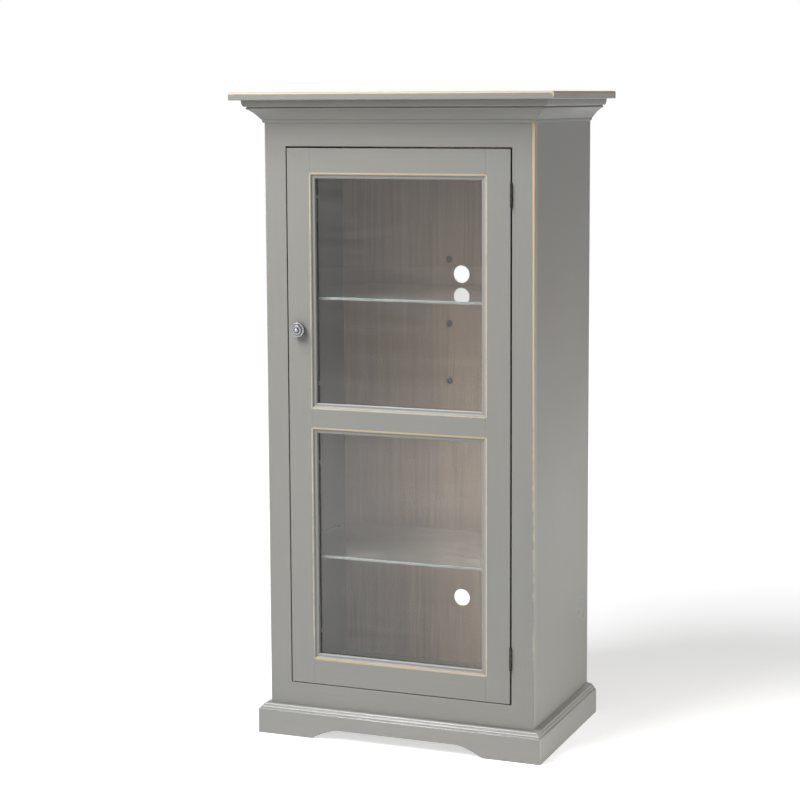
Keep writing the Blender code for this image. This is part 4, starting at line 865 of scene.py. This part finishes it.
def panel_nails():
    """Nails round the edge of the back panel, a little uneven as a hand drives them."""
    low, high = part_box("back_panel")
    inset = NAIL_INSET
    outline = [(share * NAIL_RADIUS, height) for share, height in NAIL_HEAD]
    mesh = bmesh.new()
    rows = round((high.z - low.z) / NAIL_PITCH)
    across = round((high.x - low.x) / NAIL_PITCH)
    places = []
    for index in range(rows + 1):
        height = low.z + inset + (high.z - low.z - 2 * inset) * index / rows
        places += [(low.x + inset, height), (high.x - inset, height)]
    for index in range(1, across):
        x = low.x + (high.x - low.x) * index / across
        places += [(x, low.z + inset), (x, high.z - inset)]
    for index, (x, height) in enumerate(places):
        drift = inset * NAIL_DRIFT * math.sin(index * NAIL_WAVE)
        join(mesh, turned(outline, NAIL_SIDES), along((0, 1, 0), (x + drift, high.y, height - drift)))
    finish_piece("back_panel_nails", mesh, [black_steel], "cabinet", [])


panel_nails()


# Fittings

# The decks take the darker inside paint, a painted shade
for node, material in (
    ("bottom_panel", inside_shade_paint), ("top_panel", inside_shade_paint), ("back_panel", back_ply),
    ("plinth_back", pine), ("corner_block_left", pine), ("corner_block_right", pine),
    ("door_glass_upper", door_glass), ("door_glass_lower", door_glass),
    ("knob_screw", zinc_plate), ("strike_plate", zinc_plate),
    ("catch_body", plastic), ("catch_poles", zinc_plate),
):
    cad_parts[node].material_slots[0].material = material
for node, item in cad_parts.items():
    if node.startswith("hinge_"):
        item.material_slots[0].material = black_steel
    if node.startswith("shelf_pin") or node.startswith("glass_clip"):
        item.material_slots[0].material = zinc_plate
    if node.startswith("back_plug"):
        item.material_slots[0].material = rubber


# Floor, light and camera

FLOOR_RADIUS = 14
FLOOR_SIDES = 64
# The floor glows more from a metre away to where it meets the surround
GLOW_SPAN = {"From Min": 1.0, "From Max": 3.5, "To Min": 0.62, "To Max": 0.97}
SOFT_LIGHT = 0.05
LENS = 93.54
LENS_SHIFT = -0.06
CAMERA_PLACE = (1.7615, -4.5643, 1.5079)
CAMERA_TURN = 21.820
CAMERA_DIP = 6.987
CAMERA_ROLL = -0.290


def seen_rays(tree):
    """Return 1 for rays that see a surface directly, in a mirror or through glass."""
    path = add(tree, "LightPath", {}, {})
    straight = add(tree, "Math", {"operation": "ADD"}, {
        0: path.outputs["Is Camera Ray"], 1: path.outputs["Is Glossy Ray"],
    })
    seen = add(tree, "Math", {"operation": "ADD", "use_clamp": True}, {
        0: straight.outputs[0], 1: path.outputs["Is Transmission Ray"],
    })
    return seen.outputs[0]


def pale_floor():
    """Plain white floor that keeps the cabinet's soft shadow and grows as white as the surround."""
    mesh = bmesh.new()
    bmesh.ops.create_circle(mesh, cap_ends=True, segments=FLOOR_SIDES, radius=FLOOR_RADIUS)
    data = bpy.data.meshes.new("floor")
    mesh.to_mesh(data)
    mesh.free()
    floor = bpy.data.objects.new("floor", data)
    bpy.context.scene.collection.objects.link(floor)
    material = bpy.data.materials.new("white_floor")
    material.use_nodes = True
    tree = material.node_tree
    tree.nodes.remove(tree.nodes["Principled BSDF"])
    lit = add(tree, "BsdfDiffuse", {}, {"Color": linear(FLOOR_WHITE)})
    coords = add(tree, "TexCoord", {}, {})
    distance = add(tree, "VectorMath", {"operation": "LENGTH"}, {0: coords.outputs["Object"]})
    strength = add(tree, "MapRange", SMOOTH, {"Value": distance.outputs["Value"], **GLOW_SPAN})
    glow = add(tree, "Emission", {}, {"Color": (1, 1, 1, 1), "Strength": strength.outputs[0]})
    none = add(tree, "Emission", {}, {"Color": (0, 0, 0, 1), "Strength": 0})
    extra = add(tree, "MixShader", {}, {0: seen_rays(tree), 1: none.outputs[0], 2: glow.outputs[0]})
    both = add(tree, "AddShader", {}, {0: lit.outputs[0], 1: extra.outputs[0]})
    tree.links.new(both.outputs[0], tree.nodes["Material Output"].inputs["Surface"])
    data.materials.append(material)


def white_surround():
    """World that is seen as white and lights the cabinet softly."""
    world = bpy.data.worlds.new("white_surround")
    world.use_nodes = True
    bpy.context.scene.world = world
    tree = world.node_tree
    soft = tree.nodes["Background"]
    soft.inputs["Color"].default_value = (1, 1, 1, 1)
    soft.inputs["Strength"].default_value = SOFT_LIGHT
    white = add(tree, "Background", {}, {"Color": (1, 1, 1, 1), "Strength": 1.0})
    mixed = add(tree, "MixShader", {}, {0: seen_rays(tree), 1: soft.outputs[0], 2: white.outputs[0]})
    tree.links.new(mixed.outputs[0], tree.nodes["World Output"].inputs["Surface"])


def soft_lamp(name, place, aim, size, power, colour):
    """Square area lamp aimed at a point."""
    lamp = bpy.data.lights.new(name, "AREA")
    lamp.size = size
    lamp.energy = power
    lamp.color = colour
    item = bpy.data.objects.new(name, lamp)
    direction = Vector(aim) - Vector(place)
    item.matrix_world = Matrix.Translation(place) @ direction.to_track_quat("-Z", "Y").to_matrix().to_4x4()
    bpy.context.scene.collection.objects.link(item)


# Each lamp's name, place, aim, size, power and colour
LAMPS = (
    ("key_lamp", (-1.9, -2.9, 4.3), (0, 0, 0.8), 2.6, 226, (1, 0.99, 0.98)),
    ("top_lamp", (-1.5, -1.3, 4.0), (0, 0, 0.6), 0.6, 34, (0.92, 0.96, 1)),
    ("low_side_lamp", (1.35, 0.0, 0.3), (0.33, 0.05, 0.0), 0.5, 5.1, (1, 0.98, 0.92)),
)


def photo_camera():
    """Camera at the photographed angle, from the front and a little to the right."""
    lens = bpy.data.cameras.new("photo_camera")
    lens.lens = LENS
    lens.sensor_width = 36
    lens.shift_y = LENS_SHIFT
    lens.clip_end = 100
    camera = bpy.data.objects.new("photo_camera", lens)
    turn = Matrix.Rotation(math.radians(CAMERA_TURN), 4, "Z") @ Matrix.Rotation(math.radians(90 - CAMERA_DIP), 4, "X")
    turn = turn @ Matrix.Rotation(math.radians(CAMERA_ROLL), 4, "Z")
    camera.matrix_world = Matrix.Translation(CAMERA_PLACE) @ turn
    bpy.context.scene.collection.objects.link(camera)
    bpy.context.scene.camera = camera


pale_floor()
white_surround()
for lamp in LAMPS:
    soft_lamp(*lamp)
photo_camera()
bpy.context.scene.view_settings.view_transform = "Standard"

bpy.context.view_layer.update()
